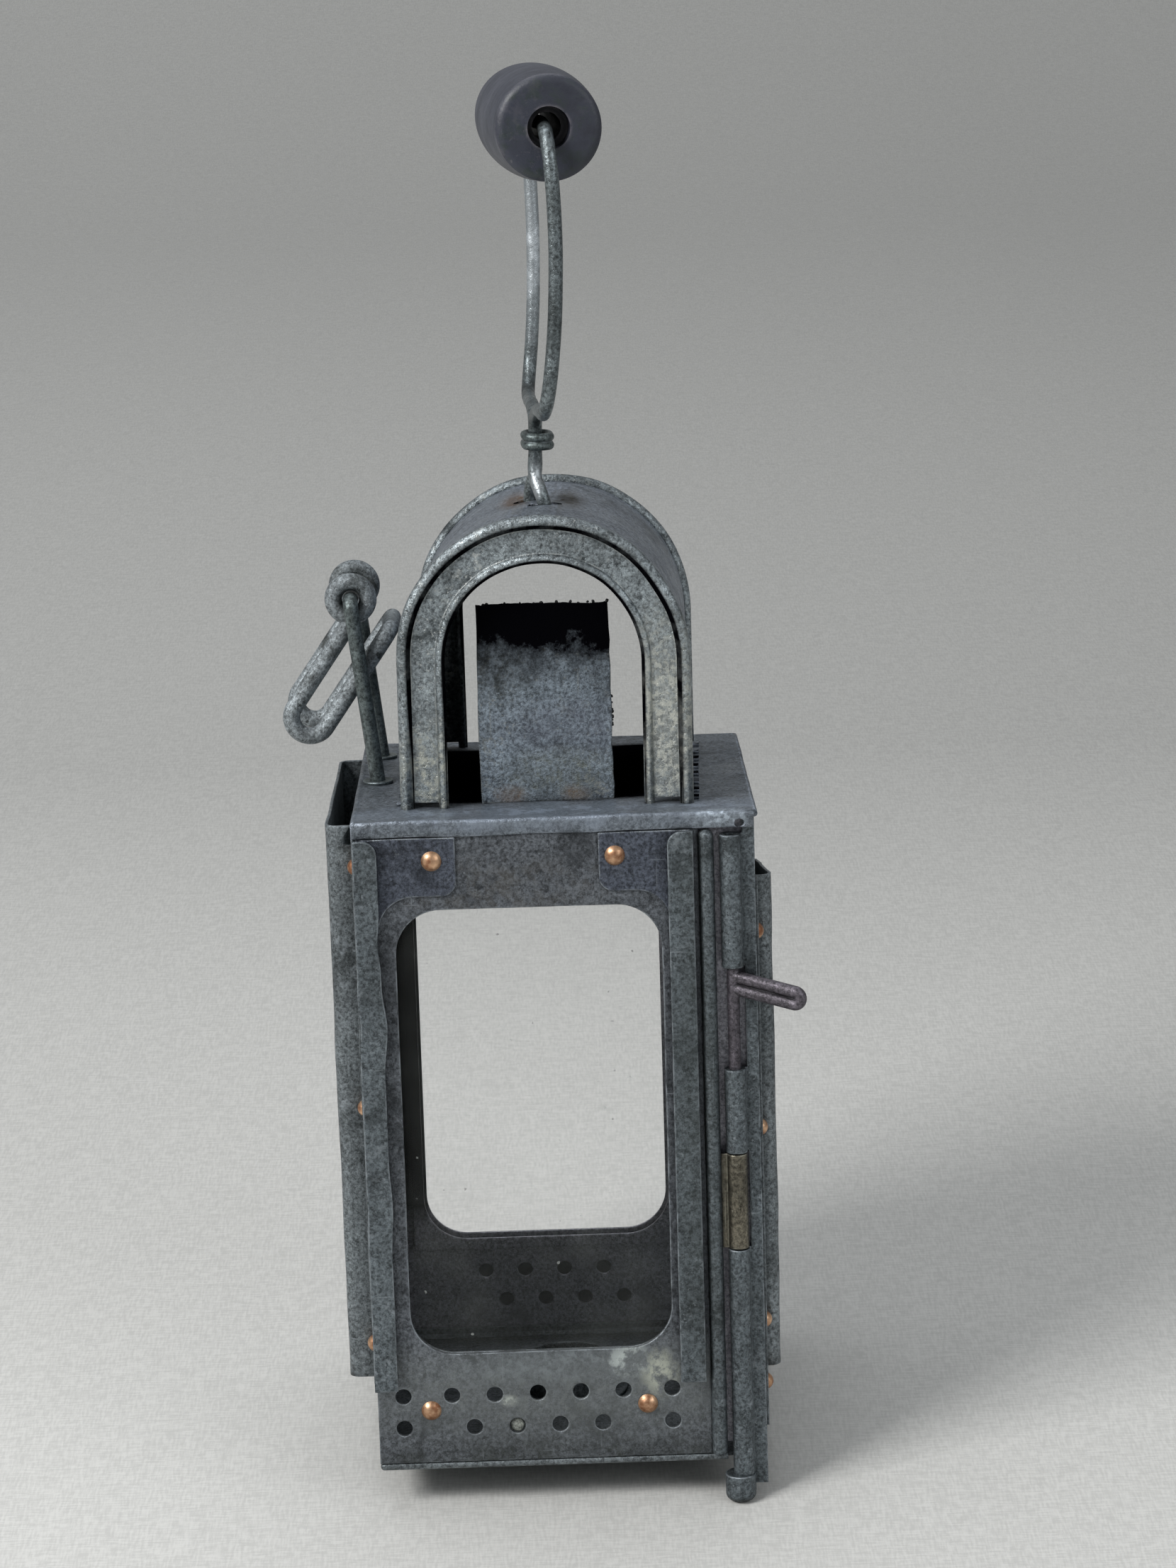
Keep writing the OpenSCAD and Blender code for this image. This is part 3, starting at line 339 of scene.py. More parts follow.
def old_metal(
    name,
    base,
    dark,
    pale,
    metallic=0.7,
    roughness=0.48,
    cloud_scale=40.0,
    grime=0.6,
    flecks=0.5,
    scratches=0.3,
    edge=0.6,
    crevice_shade=0.75,
    bump=0.25,
    contrast=0.6,
    soot_and_shade=None,
    patches=(),
):
    """The lantern's sheet and wire finishes: one recipe with its own colours and wear, and painted
    light and shade.
    """
    mat, sh, bsdf, at = new_material(name)
    marks = add_tarnish(sh, at, cloud_scale, grime, flecks, scratches, crevice_shade)
    worn_and_highlit = add_worn_and_highlit_edges(sh, at, EDGE_RADIUS, edge)
    lift = tuple(min(1.0, c * (1.0 + LIFT_PER_CONTRAST * contrast)) for c in base[:3]) + (1.0,)
    drop = tuple(c * (1.0 - DROP_PER_CONTRAST * contrast) for c in base[:3]) + (1.0,)
    colour = sh.mix(marks["Tone"], drop, lift)
    grain = sh.ramp(marks["Grain"], 0.0, 1.0, *GRAIN_SHADES)
    colour = sh.mix(1.0, colour, sh.tint(grain, grain, grain), "MULTIPLY")
    # Dark grime, with painted shade in the hollows.
    colour = sh.mix(marks["Grime And Shade"], colour, dark)
    # Pale flecks, and pale worn edges that also paint the edges' highlights.
    colour = sh.mix(sh.larger(marks["Pale"], worn_and_highlit["Wear And Highlight"]), colour, pale)
    rougher = roughness + TONE_ROUGHNESS
    smoother = roughness - TONE_ROUGHNESS
    rough = sh.ramp(marks["Tone"], 0.0, 1.0, rougher, smoother)
    metal = metallic
    for spot in patches:
        mask = patch_mask(sh, at, spot)
        colour = sh.mix(mask, colour, spot["colour"])
        if spot["dull"]:
            metal = sh.times(sh.minus(1.0, mask), metal)
            rough = sh.larger(rough, sh.times(mask, 0.95))
    # Soot and painted shade: near-black, rougher and not metal under the mask.
    if soot_and_shade:
        mask = soot_and_shade(sh, at)
        unblackened = sh.minus(1.0, mask)
        colour = sh.mix(mask, colour, SOOT_AND_SHADE)
        rough = sh.plus(rough, sh.times(mask, 0.3), True)
        metal = sh.times(unblackened, metal)
        sh.put(bsdf.inputs["Specular IOR Level"], sh.times(unblackened, 0.5))
    sh.put(bsdf.inputs["Base Color"], colour)
    sh.put(bsdf.inputs["Roughness"], rough)
    sh.put(bsdf.inputs["Metallic"], metal)
    add_bump(sh, bsdf, marks["Height"], bump, METAL_BUMP_DEPTH, worn_and_highlit["Normal"])
    return mat


# ---------------------------------------------------------------- where the soot and the painted shade lie, in metres

HOOD_AXIS_Z = 0.1753
BAFFLE_SOOT_AND_SHADOW_Z = (0.1790, 0.1895)
ROOF_SOOT_AND_SHADOW_SIDE_X = (0.0325, 0.0295)
ROOF_SOOT_AND_SHADOW_FRONT_Y = (-0.0250, -0.0215)
ROOF_SOOT_AND_SHADOW_BACK_Y = (0.034, 0.031)
BACK_SOOT_AND_SHADE_X = (-0.0318, -0.0326)
BACK_SOOT_AND_SHADE_Z = (0.028, 0.034)
# How squarely a face has to look inwards before it gets soot and painted shade.
INNER_FACE = (0.2, 0.6)


def soot_and_shadow_on_the_baffle(sh, at):
    """Soot and the hood's painted shadow: black above a ragged line, thinning out downwards."""
    wobble = sh.times(sh.noise(at, 110.0, 7.0, 0.75), 0.022)
    return sh.ramp(sh.plus(sh.split(at)["Z"], wobble), *BAFFLE_SOOT_AND_SHADOW_Z)


def soot_and_shade_in_the_hood(sh, at):
    """Soot and painted shade: black on the faces that look at the hood's own axis."""
    n = sh.add("ShaderNodeMapping", {"Vector": at, "Location": (0, 0, -HOOD_AXIS_Z)})
    flat = sh.add(
        "ShaderNodeVectorMath", {0: n.outputs["Vector"], 1: (1, 0, 1)}, operation="MULTIPLY"
    )
    way = sh.add("ShaderNodeVectorMath", {0: flat.outputs["Vector"]}, operation="NORMALIZE")
    inward = sh.ramp(sh.facing(way.outputs["Vector"]), -0.05, -0.4)
    thin = sh.ramp(sh.noise(at, 60.0, 5.0, 0.6), 0.3, 0.5, 0.75, 1.0)
    return sh.times(inward, thin)


def soot_and_shadow_on_the_roof(sh, at):
    """Soot and the hood's painted shadow: black on the roof under the hood, behind the baffle."""
    place = sh.split(at)
    wobble = sh.times(sh.noise(at, 120.0, 4.0), 0.006)
    width = sh.ramp(sh.plus(sh.unsigned(place["X"]), wobble), *ROOF_SOOT_AND_SHADOW_SIDE_X)
    front = sh.ramp(sh.plus(place["Y"], wobble), *ROOF_SOOT_AND_SHADOW_FRONT_Y)
    back = sh.ramp(place["Y"], *ROOF_SOOT_AND_SHADOW_BACK_Y)
    return sh.times(sh.times(width, front), back)


def soot_and_shade_on_the_back(sh, at):
    """Soot and painted shade: black down the back sheet's inner left side."""
    place = sh.split(at)
    side = sh.ramp(place["X"], *BACK_SOOT_AND_SHADE_X)
    high = sh.ramp(place["Z"], *BACK_SOOT_AND_SHADE_Z)
    inner = sh.ramp(sh.facing((0, -1, 0)), *INNER_FACE)
    return sh.times(sh.times(side, high), inner)


def soot_and_shade_inside_left(sh, at):
    """Soot and painted shade: black on the left wall's inner face."""
    return sh.ramp(sh.facing((1, 0, 0)), *INNER_FACE, 0.0, 0.9)


def soot_and_shade_inside_front(sh, at):
    """Soot and painted shade: black on the front panel's inner face."""
    return sh.ramp(sh.facing((0, 1, 0)), *INNER_FACE, 0.0, 0.8)


# ---------------------------------------------------------------- the stains and the painted light and shade, in metres

PATCH_DEPTH = 0.01
PANEL_Y = -0.042
ROOF_RIM_Y = -0.0425
ROOF_RIM_Z = 0.1432
BAFFLE_Y = -0.026
BAFFLE_FOOT_Z = 0.1455
HOOD_TOP_Z = 0.205


def face_patch(y, across, up, size, amount, colour, scale=260.0, solid=0.0, dull=False):
    """A patch on a face that looks to the front; size is its reach across and up."""
    wide, tall = size
    return colour_patch((across, y, up), (wide, PATCH_DEPTH, tall), amount, colour, scale, solid, dull)


# A pale haze and drips under the window, a dark foot, a faint brown cloud above.
FRONT_STAINS = (
    face_patch(PANEL_Y, 0.0, 0.0175, (0.070, 0.0150), 0.6, rgb(124, 129, 128), 300.0, 0.7),
    face_patch(PANEL_Y, 0.0, 0.0235, (0.034, 0.0050), 0.5, rgb(138, 146, 150), 300.0, 0.3),
    face_patch(PANEL_Y, 0.0122, 0.0235, (0.0060, 0.0046), 1.0, rgb(184, 192, 190), 300.0, 0.08),
    face_patch(PANEL_Y, 0.0190, 0.0205, (0.0048, 0.0066), 1.0, rgb(180, 184, 172), 330.0, 0.05),
    face_patch(PANEL_Y, -0.0135, 0.0152, (0.0024, 0.0017), 1.0, rgb(174, 180, 174), 520.0, 0.4),
    face_patch(PANEL_Y, 0.0, 0.0010, (0.070, 0.0070), 0.55, rgb(56, 60, 54), 200.0, 0.5),
    face_patch(PANEL_Y, -0.012, 0.129, (0.03, 0.008), 0.3, rgb(96, 92, 84), 200.0),
)
# Two rust spots at the foot, a dark smear on the left, two faint clouds.
BAFFLE_STAINS = (
    face_patch(
        BAFFLE_Y, -0.009, BAFFLE_FOOT_Z, (0.0045, 0.003), 0.8, RUST, solid=0.6, dull=True
    ),
    face_patch(
        BAFFLE_Y, 0.0048, BAFFLE_FOOT_Z, (0.004, 0.0025), 0.9, RUST, solid=0.6, dull=True
    ),
    face_patch(BAFFLE_Y, -0.012, 0.172, (0.011, 0.010), 0.7, rgb(48, 52, 50), 420.0, 0.3),
    face_patch(BAFFLE_Y, 0.003, 0.160, (0.020, 0.008), 0.35, rgb(78, 78, 92), 160.0, 0.6),
    face_patch(BAFFLE_Y, 0.002, 0.150, (0.016, 0.007), 0.35, rgb(124, 126, 108), 420.0, 0.4),
)
# A dark band down the right guide: painted shade, away from the light on the left.
RIGHT_GUIDE_SHADE = (
    colour_patch((0.0290, -0.0435, 0.076), (0.0080, 0.006, 0.10), 0.45, rgb(52, 57, 54), 200.0, 0.6),
)
# Rubbed rim with a painted highlight, a paler strip of painted light in front of the hood, the
# bright worn corner.
ROOF_STAINS_AND_LIGHT = (
    colour_patch(
        (0.0, ROOF_RIM_Y, ROOF_RIM_Z),
        (0.060, 0.004, 0.0022),
        0.4,
        rgb(150, 160, 174),
        scale=130.0,
        solid=0.25,
    ),
    colour_patch((0.0, -0.0350, 0.1455), (0.060, 0.0105, 0.01), 0.85, rgb(158, 170, 186), 220.0, 0.45),
    colour_patch(
        (0.0345, ROOF_RIM_Y, ROOF_RIM_Z),
        (0.0085, 0.004, 0.003),
        0.9,
        rgb(190, 202, 214),
        scale=420.0,
        solid=0.2,
    ),
)
# Brown and black crusts on either side of the bail's slot.
STRIP_STAINS = (
    colour_patch(
        (-0.0062, 0.008, HOOD_TOP_Z),
        (0.0046, 0.017, 0.02),
        1.0,
        rgb(70, 52, 32),
        scale=420.0,
        solid=0.8,
        dull=True,
    ),
    colour_patch(
        (0.0056, 0.006, HOOD_TOP_Z),
        (0.0044, 0.017, 0.02),
        1.0,
        rgb(44, 40, 30),
        scale=420.0,
        solid=0.8,
        dull=True,
    ),
)
# Pale speckles low on the hood's legs.
HOOD_STAINS = (
    colour_patch((-0.0255, -0.031, 0.150), (0.009, 0.02, 0.015), 0.9, rgb(182, 184, 174), 520.0, 0.1),
    colour_patch((0.0235, -0.033, 0.158), (0.011, 0.02, 0.032), 1.0, rgb(192, 194, 186), 560.0, 0.25),
)
# Where the bail is rubbed bright: its back leg and its neck.
BAIL_STAINS = (
    colour_patch((-0.001, 0.041, 0.266), (0.01, 0.01, 0.036), 0.95, rgb(196, 203, 208), 90.0, 0.5),
    colour_patch((-0.0015, -0.002, 0.209), (0.0022, 0.006, 0.006), 0.9, rgb(190, 196, 200), 90.0, 0.5),
)

# ---------------------------------------------------------------- the metals

sheet_metal = old_metal(
    "grey_tinned_sheet", rgb(102, 108, 111), GRIME_AND_SHADE, ZINC_AND_EDGE_HIGHLIGHT, bump=0.4, contrast=0.5
)
left_metal = old_metal(
    "left_wall_sheet",
    rgb(98, 104, 107),
    GRIME_AND_SHADE,
    ZINC_AND_EDGE_HIGHLIGHT,
    bump=0.4,
    contrast=0.5,
    soot_and_shade=soot_and_shade_inside_left,
)
front_metal = old_metal(
    "front_sheet",
    rgb(86, 90, 95),
    rgb(40, 43, 46),
    ZINC_AND_EDGE_HIGHLIGHT,
    grime=0.75,
    flecks=0.22,
    edge=0.9,
    bump=0.5,
    contrast=0.38,
    soot_and_shade=soot_and_shade_inside_front,
    patches=FRONT_STAINS,
)
gusset_metal = old_metal(
    "gusset_sheet",
    rgb(72, 77, 87),
    rgb(28, 31, 36),
    ZINC_AND_EDGE_HIGHLIGHT,
    grime=0.7,
    flecks=0.2,
    edge=1.0,
    bump=0.5,
    contrast=0.4,
)
trim_metal = old_metal(
    "grey_trim_sheet",
    rgb(88, 95, 99),
    GRIME_AND_SHADE,
    ZINC_AND_EDGE_HIGHLIGHT,
    scratches=0.5,
    edge=1.0,
    bump=0.45,
    contrast=0.42,
    patches=RIGHT_GUIDE_SHADE,
)
solder_metal = old_metal(
    "old_solder",
    rgb(136, 140, 134),
    rgb(60, 64, 62),
    rgb(190, 194, 186),
    roughness=0.6,
    edge=0.3,
    crevice_shade=0.3,
)
roof_metal = old_metal(
    "roof_sheet",
    rgb(94, 100, 106),
    GRIME_AND_SHADE,
    rgb(164, 172, 184),
    edge=1.0,
    bump=0.5,
    contrast=0.5,
    soot_and_shade=soot_and_shadow_on_the_roof,
    patches=ROOF_STAINS_AND_LIGHT,
)
strip_metal = old_metal(
    "hood_strip_sheet",
    rgb(112, 119, 128),
    rgb(46, 52, 56),
    rgb(176, 184, 198),
    roughness=0.42,
    grime=0.5,
    flecks=0.6,
    bump=0.45,
    contrast=0.5,
    soot_and_shade=soot_and_shade_in_the_hood,
    patches=STRIP_STAINS,
)
hood_metal = old_metal(
    "speckled_hood_sheet",
    rgb(112, 119, 122),
    rgb(40, 46, 48),
    rgb(186, 190, 188),
    roughness=0.4,
    cloud_scale=30.0,
    grime=0.8,
    flecks=1.0,
    edge=1.0,
    bump=0.6,
    contrast=0.9,
    soot_and_shade=soot_and_shade_in_the_hood,
    patches=HOOD_STAINS,
)
bail_metal = old_metal(
    "rubbed_bail_wire",
    rgb(92, 99, 101),
    rgb(32, 36, 34),
    rgb(170, 178, 184),
    roughness=0.36,
    flecks=0.35,
    bump=0.4,
    contrast=0.8,
    patches=BAIL_STAINS,
)
wire_metal = old_metal(
    "dark_wire",
    rgb(84, 92, 92),
    rgb(30, 34, 32),
    rgb(160, 170, 176),
    roughness=0.42,
    flecks=0.35,
    bump=0.4,
)
hook_metal = old_metal(
    "mottled_hook_wire",
    rgb(112, 118, 121),
    rgb(38, 42, 40),
    rgb(150, 158, 162),
    metallic=0.5,
    roughness=0.55,
    grime=0.9,
    bump=0.6,
    contrast=0.8,
)
handle_metal = old_metal(
    "rubbed_handle_wire",
    rgb(80, 76, 82),
    rgb(36, 36, 38),
    rgb(146, 146, 152),
    metallic=0.6,
    roughness=0.45,
    flecks=0.3,
    bump=0.4,
)
brassy_metal = old_metal(
    "brassy_knuckle",
    rgb(88, 84, 74),
    rgb(36, 36, 32),
    rgb(178, 176, 160),
    metallic=0.8,
    roughness=0.4,
    grime=0.5,
    flecks=0.4,
    edge=1.0,
)
baffle_metal = old_metal(
    "sooted_and_shaded_baffle",
    rgb(104, 113, 121),
    rgb(50, 56, 64),
    rgb(150, 152, 146),
    roughness=0.6,
    cloud_scale=24.0,
    flecks=0.6,
    bump=0.6,
    contrast=0.7,
    soot_and_shade=soot_and_shadow_on_the_baffle,
    patches=BAFFLE_STAINS,
)
inside_metal = old_metal(
    "dark_inside_sheet",
    rgb(158, 158, 166),
    rgb(112, 112, 120),
    rgb(172, 174, 178),
    flecks=0.15,
    edge=0.15,
    crevice_shade=0.5,
    contrast=0.3,
    soot_and_shade=soot_and_shade_on_the_back,
)
# Near black on the vent guard: painted shade behind the back vents.
guard_metal = old_metal(
    "shaded_guard_sheet", rgb(26, 27, 28), rgb(12, 12, 13), rgb(70, 72, 74), edge=0.1, flecks=0.1
)
soot_metal = old_metal(
    "soot_black_flakes",
    rgb(22, 22, 24),
    rgb(8, 8, 9),
    rgb(60, 60, 62),
    metallic=0.0,
    roughness=0.85,
    flecks=0.2,
)

# ---------------------------------------------------------------- copper, glass, paint

COPPER_BUMP_DEPTH = 0.2 * MM
DUST_ALPHA = 0.02
CLEAR_ALPHA = 0.01
SPECK_ALPHA = 0.5
GLASS_IOR = 1.45
GLASS_SHINE = 0.15
GRIP_EDGE_RADIUS = 1.2 * MM
GRIP_BUMP_DEPTH = 0.5 * MM


def build_copper():
    """Rivet copper: warm, clouded between brown and bright at random."""
    mat, sh, bsdf, at = new_material("rivet_copper")
    cloud = sh.ramp(sh.noise(at, 500.0, 3.0), 0.35, 0.65)
    sh.put(bsdf.inputs["Base Color"], sh.mix(cloud, rgb(138, 96, 70), rgb(214, 176, 142)))
    sh.put(bsdf.inputs["Roughness"], sh.ramp(cloud, 0.0, 1.0, 0.5, 0.32))
    sh.put(bsdf.inputs["Metallic"], 0.85)
    add_bump(sh, bsdf, sh.noise(at, 900.0, 2.0), 0.3, COPPER_BUMP_DEPTH)
    return mat


def build_glass():
    """Clear pane with a little dust and a few dark specks."""
    mat, sh, bsdf, at = new_material("pane_glass")
    dust = sh.ramp(sh.noise(at, 60.0, 5.0, 0.7), 0.45, 0.8, 0.0, DUST_ALPHA)
    specks = sh.ramp(sh.noise(at, 500.0, 1.0), 0.80, 0.84, 0.0, SPECK_ALPHA)
    sh.put(bsdf.inputs["Base Color"], sh.mix(specks, rgb(214, 220, 216), rgb(60, 60, 56)))
    sh.put(bsdf.inputs["Roughness"], sh.ramp(dust, 0.0, DUST_ALPHA, 0.03, 0.12))
    sh.put(bsdf.inputs["Alpha"], sh.larger(sh.plus(dust, CLEAR_ALPHA), specks, True))
    sh.put(bsdf.inputs["IOR"], GLASS_IOR)
    sh.put(bsdf.inputs["Specular IOR Level"], GLASS_SHINE)
    return mat


def build_grip():
    """The grip's dark blue-grey paint: rubbed at the rims, which also paints their highlights,
    greenish on its ends, scratched.
    """
    mat, sh, bsdf, at = new_material("grip_paint")
    marks = add_tarnish(
        sh, at, cloud_scale=55.0, grime=0.3, flecks=0.25, scratches=0.35, crevice_shade=0.9
    )
    worn_and_highlit = add_worn_and_highlit_edges(sh, at, GRIP_EDGE_RADIUS, 0.8)
    colour = sh.mix(marks["Tone"], rgb(32, 35, 46), rgb(54, 58, 70))
    green = sh.ramp(sh.noise(at, 240.0, 4.0, 0.7), 0.48, 0.62, 0.0, 0.75)
    end_faces = sh.ramp(sh.unsigned(sh.facing((0, 1, 0))), 0.5, 0.9)
    colour = sh.mix(sh.times(green, end_faces), colour, rgb(34, 44, 42))
    # Dark grime, with painted shade in the hollows.
    colour = sh.mix(marks["Grime And Shade"], colour, rgb(24, 24, 28))
    colour = sh.mix(marks["Pale"], colour, rgb(112, 108, 112))
    # Pale rubbed rims, which also paint the rims' highlights.
    colour = sh.mix(worn_and_highlit["Wear And Highlight"], colour, rgb(108, 104, 110))
    sh.put(bsdf.inputs["Base Color"], colour)
    sh.put(bsdf.inputs["Roughness"], sh.ramp(marks["Tone"], 0.0, 1.0, 0.55, 0.4))
    add_bump(sh, bsdf, marks["Height"], 0.25, GRIP_BUMP_DEPTH)
    return mat


copper_metal = build_copper()
pane_glass = build_glass()
grip_paint = build_grip()

FINISHES = {
    "base_tray": sheet_metal,
    "floor_lugs": trim_metal,
    "front_panel": front_metal,
    "back_panel": inside_metal,
    "left_wall": left_metal,
    "front_post": trim_metal,
    "door_jamb": inside_metal,
    "back_vent_guard": guard_metal,
    "latch_knuckle": brassy_metal,
    "left_guide": trim_metal,
    "right_guide": trim_metal,
    "left_gusset": gusset_metal,
    "right_gusset": gusset_metal,
    "front_rivets": copper_metal,
    "left_pocket": sheet_metal,
    "left_rivets": copper_metal,
    "roof_plate": roof_metal,
    "hood_strip": strip_metal,
    "hood_front_frame": hood_metal,
    "hood_back_frame": hood_metal,
    "baffle": baffle_metal,
    "front_glass": pane_glass,
    "back_glass": pane_glass,
    "front_pane_frame": trim_metal,
    "back_pane_frame": inside_metal,
    "candle_cup": sheet_metal,
    "hinge_pin": wire_metal,
    "hook_staple": wire_metal,
    "staple_washers": wire_metal,
    "door_panel": trim_metal,
    "door_foot": trim_metal,
    "door_pocket": sheet_metal,
    "door_rivets": copper_metal,
    "latch_bolt": handle_metal,
    "bail_wire": bail_metal,
    "bail_collar": wire_metal,
    "grip": grip_paint,
    "belt_hook": hook_metal,
}
for name, finish in FINISHES.items():
    mesh = nodes[name].data
    mesh.materials.clear()
    mesh.materials.append(finish)

# ---------------------------------------------------------------- modelling helpers

BODY_OF = {
    node: body
    for body, members in frame["record"]["behaviour"]["bodies"].items()
    for node in members
}


def pick(piece):
    bpy.ops.object.select_all(action="DESELECT")
    piece.select_set(True)
    bpy.context.view_layer.objects.active = piece


def open_mesh(piece):
    pick(piece)
    bpy.ops.object.mode_set(mode="EDIT")
    bpy.ops.mesh.select_all(action="SELECT")


def close_mesh():
    bpy.ops.object.mode_set(mode="OBJECT")


def smooth(piece, degrees=32.0):
    pick(piece)
    bpy.ops.object.shade_smooth_by_angle(angle=math.radians(degrees))


def join_in(piece, finish, body):
    """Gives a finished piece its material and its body."""
    piece.data.materials.clear()
    piece.data.materials.append(finish)
    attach(piece, body)


def scaled_in_place(piece, scale):
    """Scales a new piece about its own middle, and leaves its object at the origin."""
    piece.scale = scale
    pick(piece)
    bpy.ops.object.transform_apply(location=True, rotation=True, scale=True)


MERGE_DISTANCE = 0.000002


def fresh_copy(node, name):
    """A copy of a CAD node with its loose triangles merged."""
    piece = bpy.data.objects.new(name, nodes[node].data.copy())
    bpy.context.scene.collection.objects.link(piece)
    open_mesh(piece)
    bpy.ops.mesh.remove_doubles(threshold=MERGE_DISTANCE)
    close_mesh()
    return piece


def slice_up(piece, axis, step):
    """Cuts the mesh across one axis every step, so that it can bend."""
    values = [v.co[axis] for v in piece.data.vertices]
    low = min(values)
    high = max(values)
    count = int((high - low) / step)
    normal = tuple(1.0 if i == axis else 0.0 for i in range(3))
    open_mesh(piece)
    for k in range(1, count + 1):
        level = low + (high - low) * k / (count + 1)
        bpy.ops.mesh.select_all(action="SELECT")
        bpy.ops.mesh.bisect(plane_co=tuple(level * c for c in normal), plane_no=normal)
    close_mesh()


def fade(distance, reach):
    """0 at the start, 1 from reach on, smooth between."""
    t = max(0.0, min(1.0, distance / reach))
    return t * t * (3.0 - 2.0 * t)


# Old sheet stays still near these: the latch bolt, the door's hinge and the bail's ring, seen
# from above in metres, and the lantern's foot.
QUIET_AXES = ((0.0368, -0.0418), (0.0397, 0.0397), (-0.0013, 0.0))
QUIET_RADIUS = 0.003
QUIET_REACH = 0.012
QUIET_FOOT_Z = 0.0002
QUIET_FOOT_REACH = 0.010
SLOW_SCALE = 62.0
SLOW_SWAY = 0.00030
QUICK_SCALE = 150.0
QUICK_SWAY = 0.00010
QUICK_SHIFT = Vector((3.1, 7.7, 1.3))


def sway(co):
    """How far old sheet has moved here: one field for all sheets, still at hinge, bolt and ring."""
    slow = noise.noise_vector(co * SLOW_SCALE) * SLOW_SWAY
    quick = noise.noise_vector(co * QUICK_SCALE + QUICK_SHIFT) * QUICK_SWAY
    calm = 1.0
    for x, y in QUIET_AXES:
        calm *= fade(math.hypot(co.x - x, co.y - y) - QUIET_RADIUS, QUIET_REACH)
    calm *= fade(co.z - QUIET_FOOT_Z, QUIET_FOOT_REACH)
    return (slow + quick) * calm


def ripple(co, scale, size):
    """Smooth noise at a point, up to about size either way."""
    return noise.noise(co * scale) * size


def push(co, centre, reach, way):
    """A smooth local dent, in metres."""
    return Vector(way) * (1.0 - fade((co - Vector(centre)).length, reach))


TEAR_SCALE = 1100.0
TEAR_ROUGHNESS = 0.00022


def torn_hole(piece, place, size):
    """Cuts a ragged round hole through a sheet."""
    bpy.ops.mesh.primitive_ico_sphere_add(subdivisions=3, radius=1.0, location=place)
    cutter = bpy.context.object
    scaled_in_place(cutter, size)
    for v in cutter.data.vertices:
        v.co += noise.noise_vector(v.co * TEAR_SCALE) * TEAR_ROUGHNESS
    cut = piece.modifiers.new("torn hole", "BOOLEAN")
    cut.operation = "DIFFERENCE"
    cut.solver = "EXACT"
    cut.object = cutter
    pick(piece)
    bpy.ops.object.modifier_apply(modifier=cut.name)
    bpy.data.objects.remove(cutter)


def weathered(node, steps, dents=(), across=1, in_plane=0.3, tear=None):
    """A CAD sheet again, cut finely enough to sway and dent like old sheet.

    It sways mostly across its own flat, so that its edges stay nearly straight."""
    piece = fresh_copy(node, "old_" + node)
    for axis, step in enumerate(steps):
        if step:
            slice_up(piece, axis, step * MM)
    for v in piece.data.vertices:
        co = v.co.copy()
        move = sway(co)
        for axis in range(3):
            if axis != across:
                move[axis] *= in_plane
        v.co = co + move
        for centre, reach, way in dents:
            v.co += push(co, centre, reach, way)
    if tear:
        torn_hole(piece, *tear)
    smooth(piece)
    join_in(piece, FINISHES[node], BODY_OF[node])
    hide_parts(node)


# ---------------------------------------------------------------- the worn sheets

# A dent is its middle, its reach and how far it moves the sheet, in metres.
LEFT_GUIDE_DENTS = (
    ((-0.0355, -0.0435, 0.100), 0.011, (0.0010, 0.0, 0.0)),
    ((-0.0403, -0.0437, 0.106), 0.007, (-0.0004, 0.0005, 0.0)),
    ((-0.0360, -0.0437, 0.118), 0.007, (-0.0006, 0.0, 0.0)),
    ((-0.0360, -0.0437, 0.060), 0.010, (0.0005, 0.0, 0.0)),
    ((-0.0395, -0.0437, 0.086), 0.006, (0.0, 0.0004, 0.0)),
)
LEFT_GUSSET_DENTS = (((-0.0225, -0.0427, 0.124), 0.006, (0.0, -0.0004, 0.0)),)
RIGHT_GUSSET_DENTS = (((0.016, -0.0427, 0.124), 0.006, (0.0, -0.0003, 0.0)),)
ROOF_TEAR = ((0.0388, -0.0426, 0.1415), (0.0011, 0.0016, 0.0009))

# The steps between cuts across x, y and z are in millimetres; None is no cut.
WHOLE = (None, None, None)
weathered("front_panel", (3.0, None, 3.0))
weathered("left_guide", (1.5, None, 2.0), LEFT_GUIDE_DENTS)
weathered("right_guide", (1.5, None, 2.5))
weathered("left_gusset", (2.0, None, 2.0), LEFT_GUSSET_DENTS)
weathered("right_gusset", (2.0, None, 2.0), RIGHT_GUSSET_DENTS)
weathered("left_pocket", (None, 4.0, 4.0), across=0)
weathered("left_wall", (None, 5.0, 5.0), across=0)
weathered("roof_plate", (4.0, 4.0, None), across=2, in_plane=0.6, tear=ROOF_TEAR)
weathered("hood_strip", (4.0, 4.0, 4.0), in_plane=1.0)
weathered("hood_front_frame", WHOLE, in_plane=1.0)
weathered("hood_back_frame", WHOLE, in_plane=1.0)
weathered("door_pocket", (None, 4.0, 4.0), across=0)

# ---------------------------------------------------------------- baffle, chips, vent plug

BAFFLE_STEP_ACROSS = 0.7 * MM
BAFFLE_STEP_UP = 3.0 * MM
BAFFLE_SWAY = 1.2
TOP_BAND = 0.5 * MM
SIDE_BAND = 0.3 * MM
TOP_BURNT_AWAY = 0.4 * MM
SIDE_BURNT_AWAY = 0.2 * MM


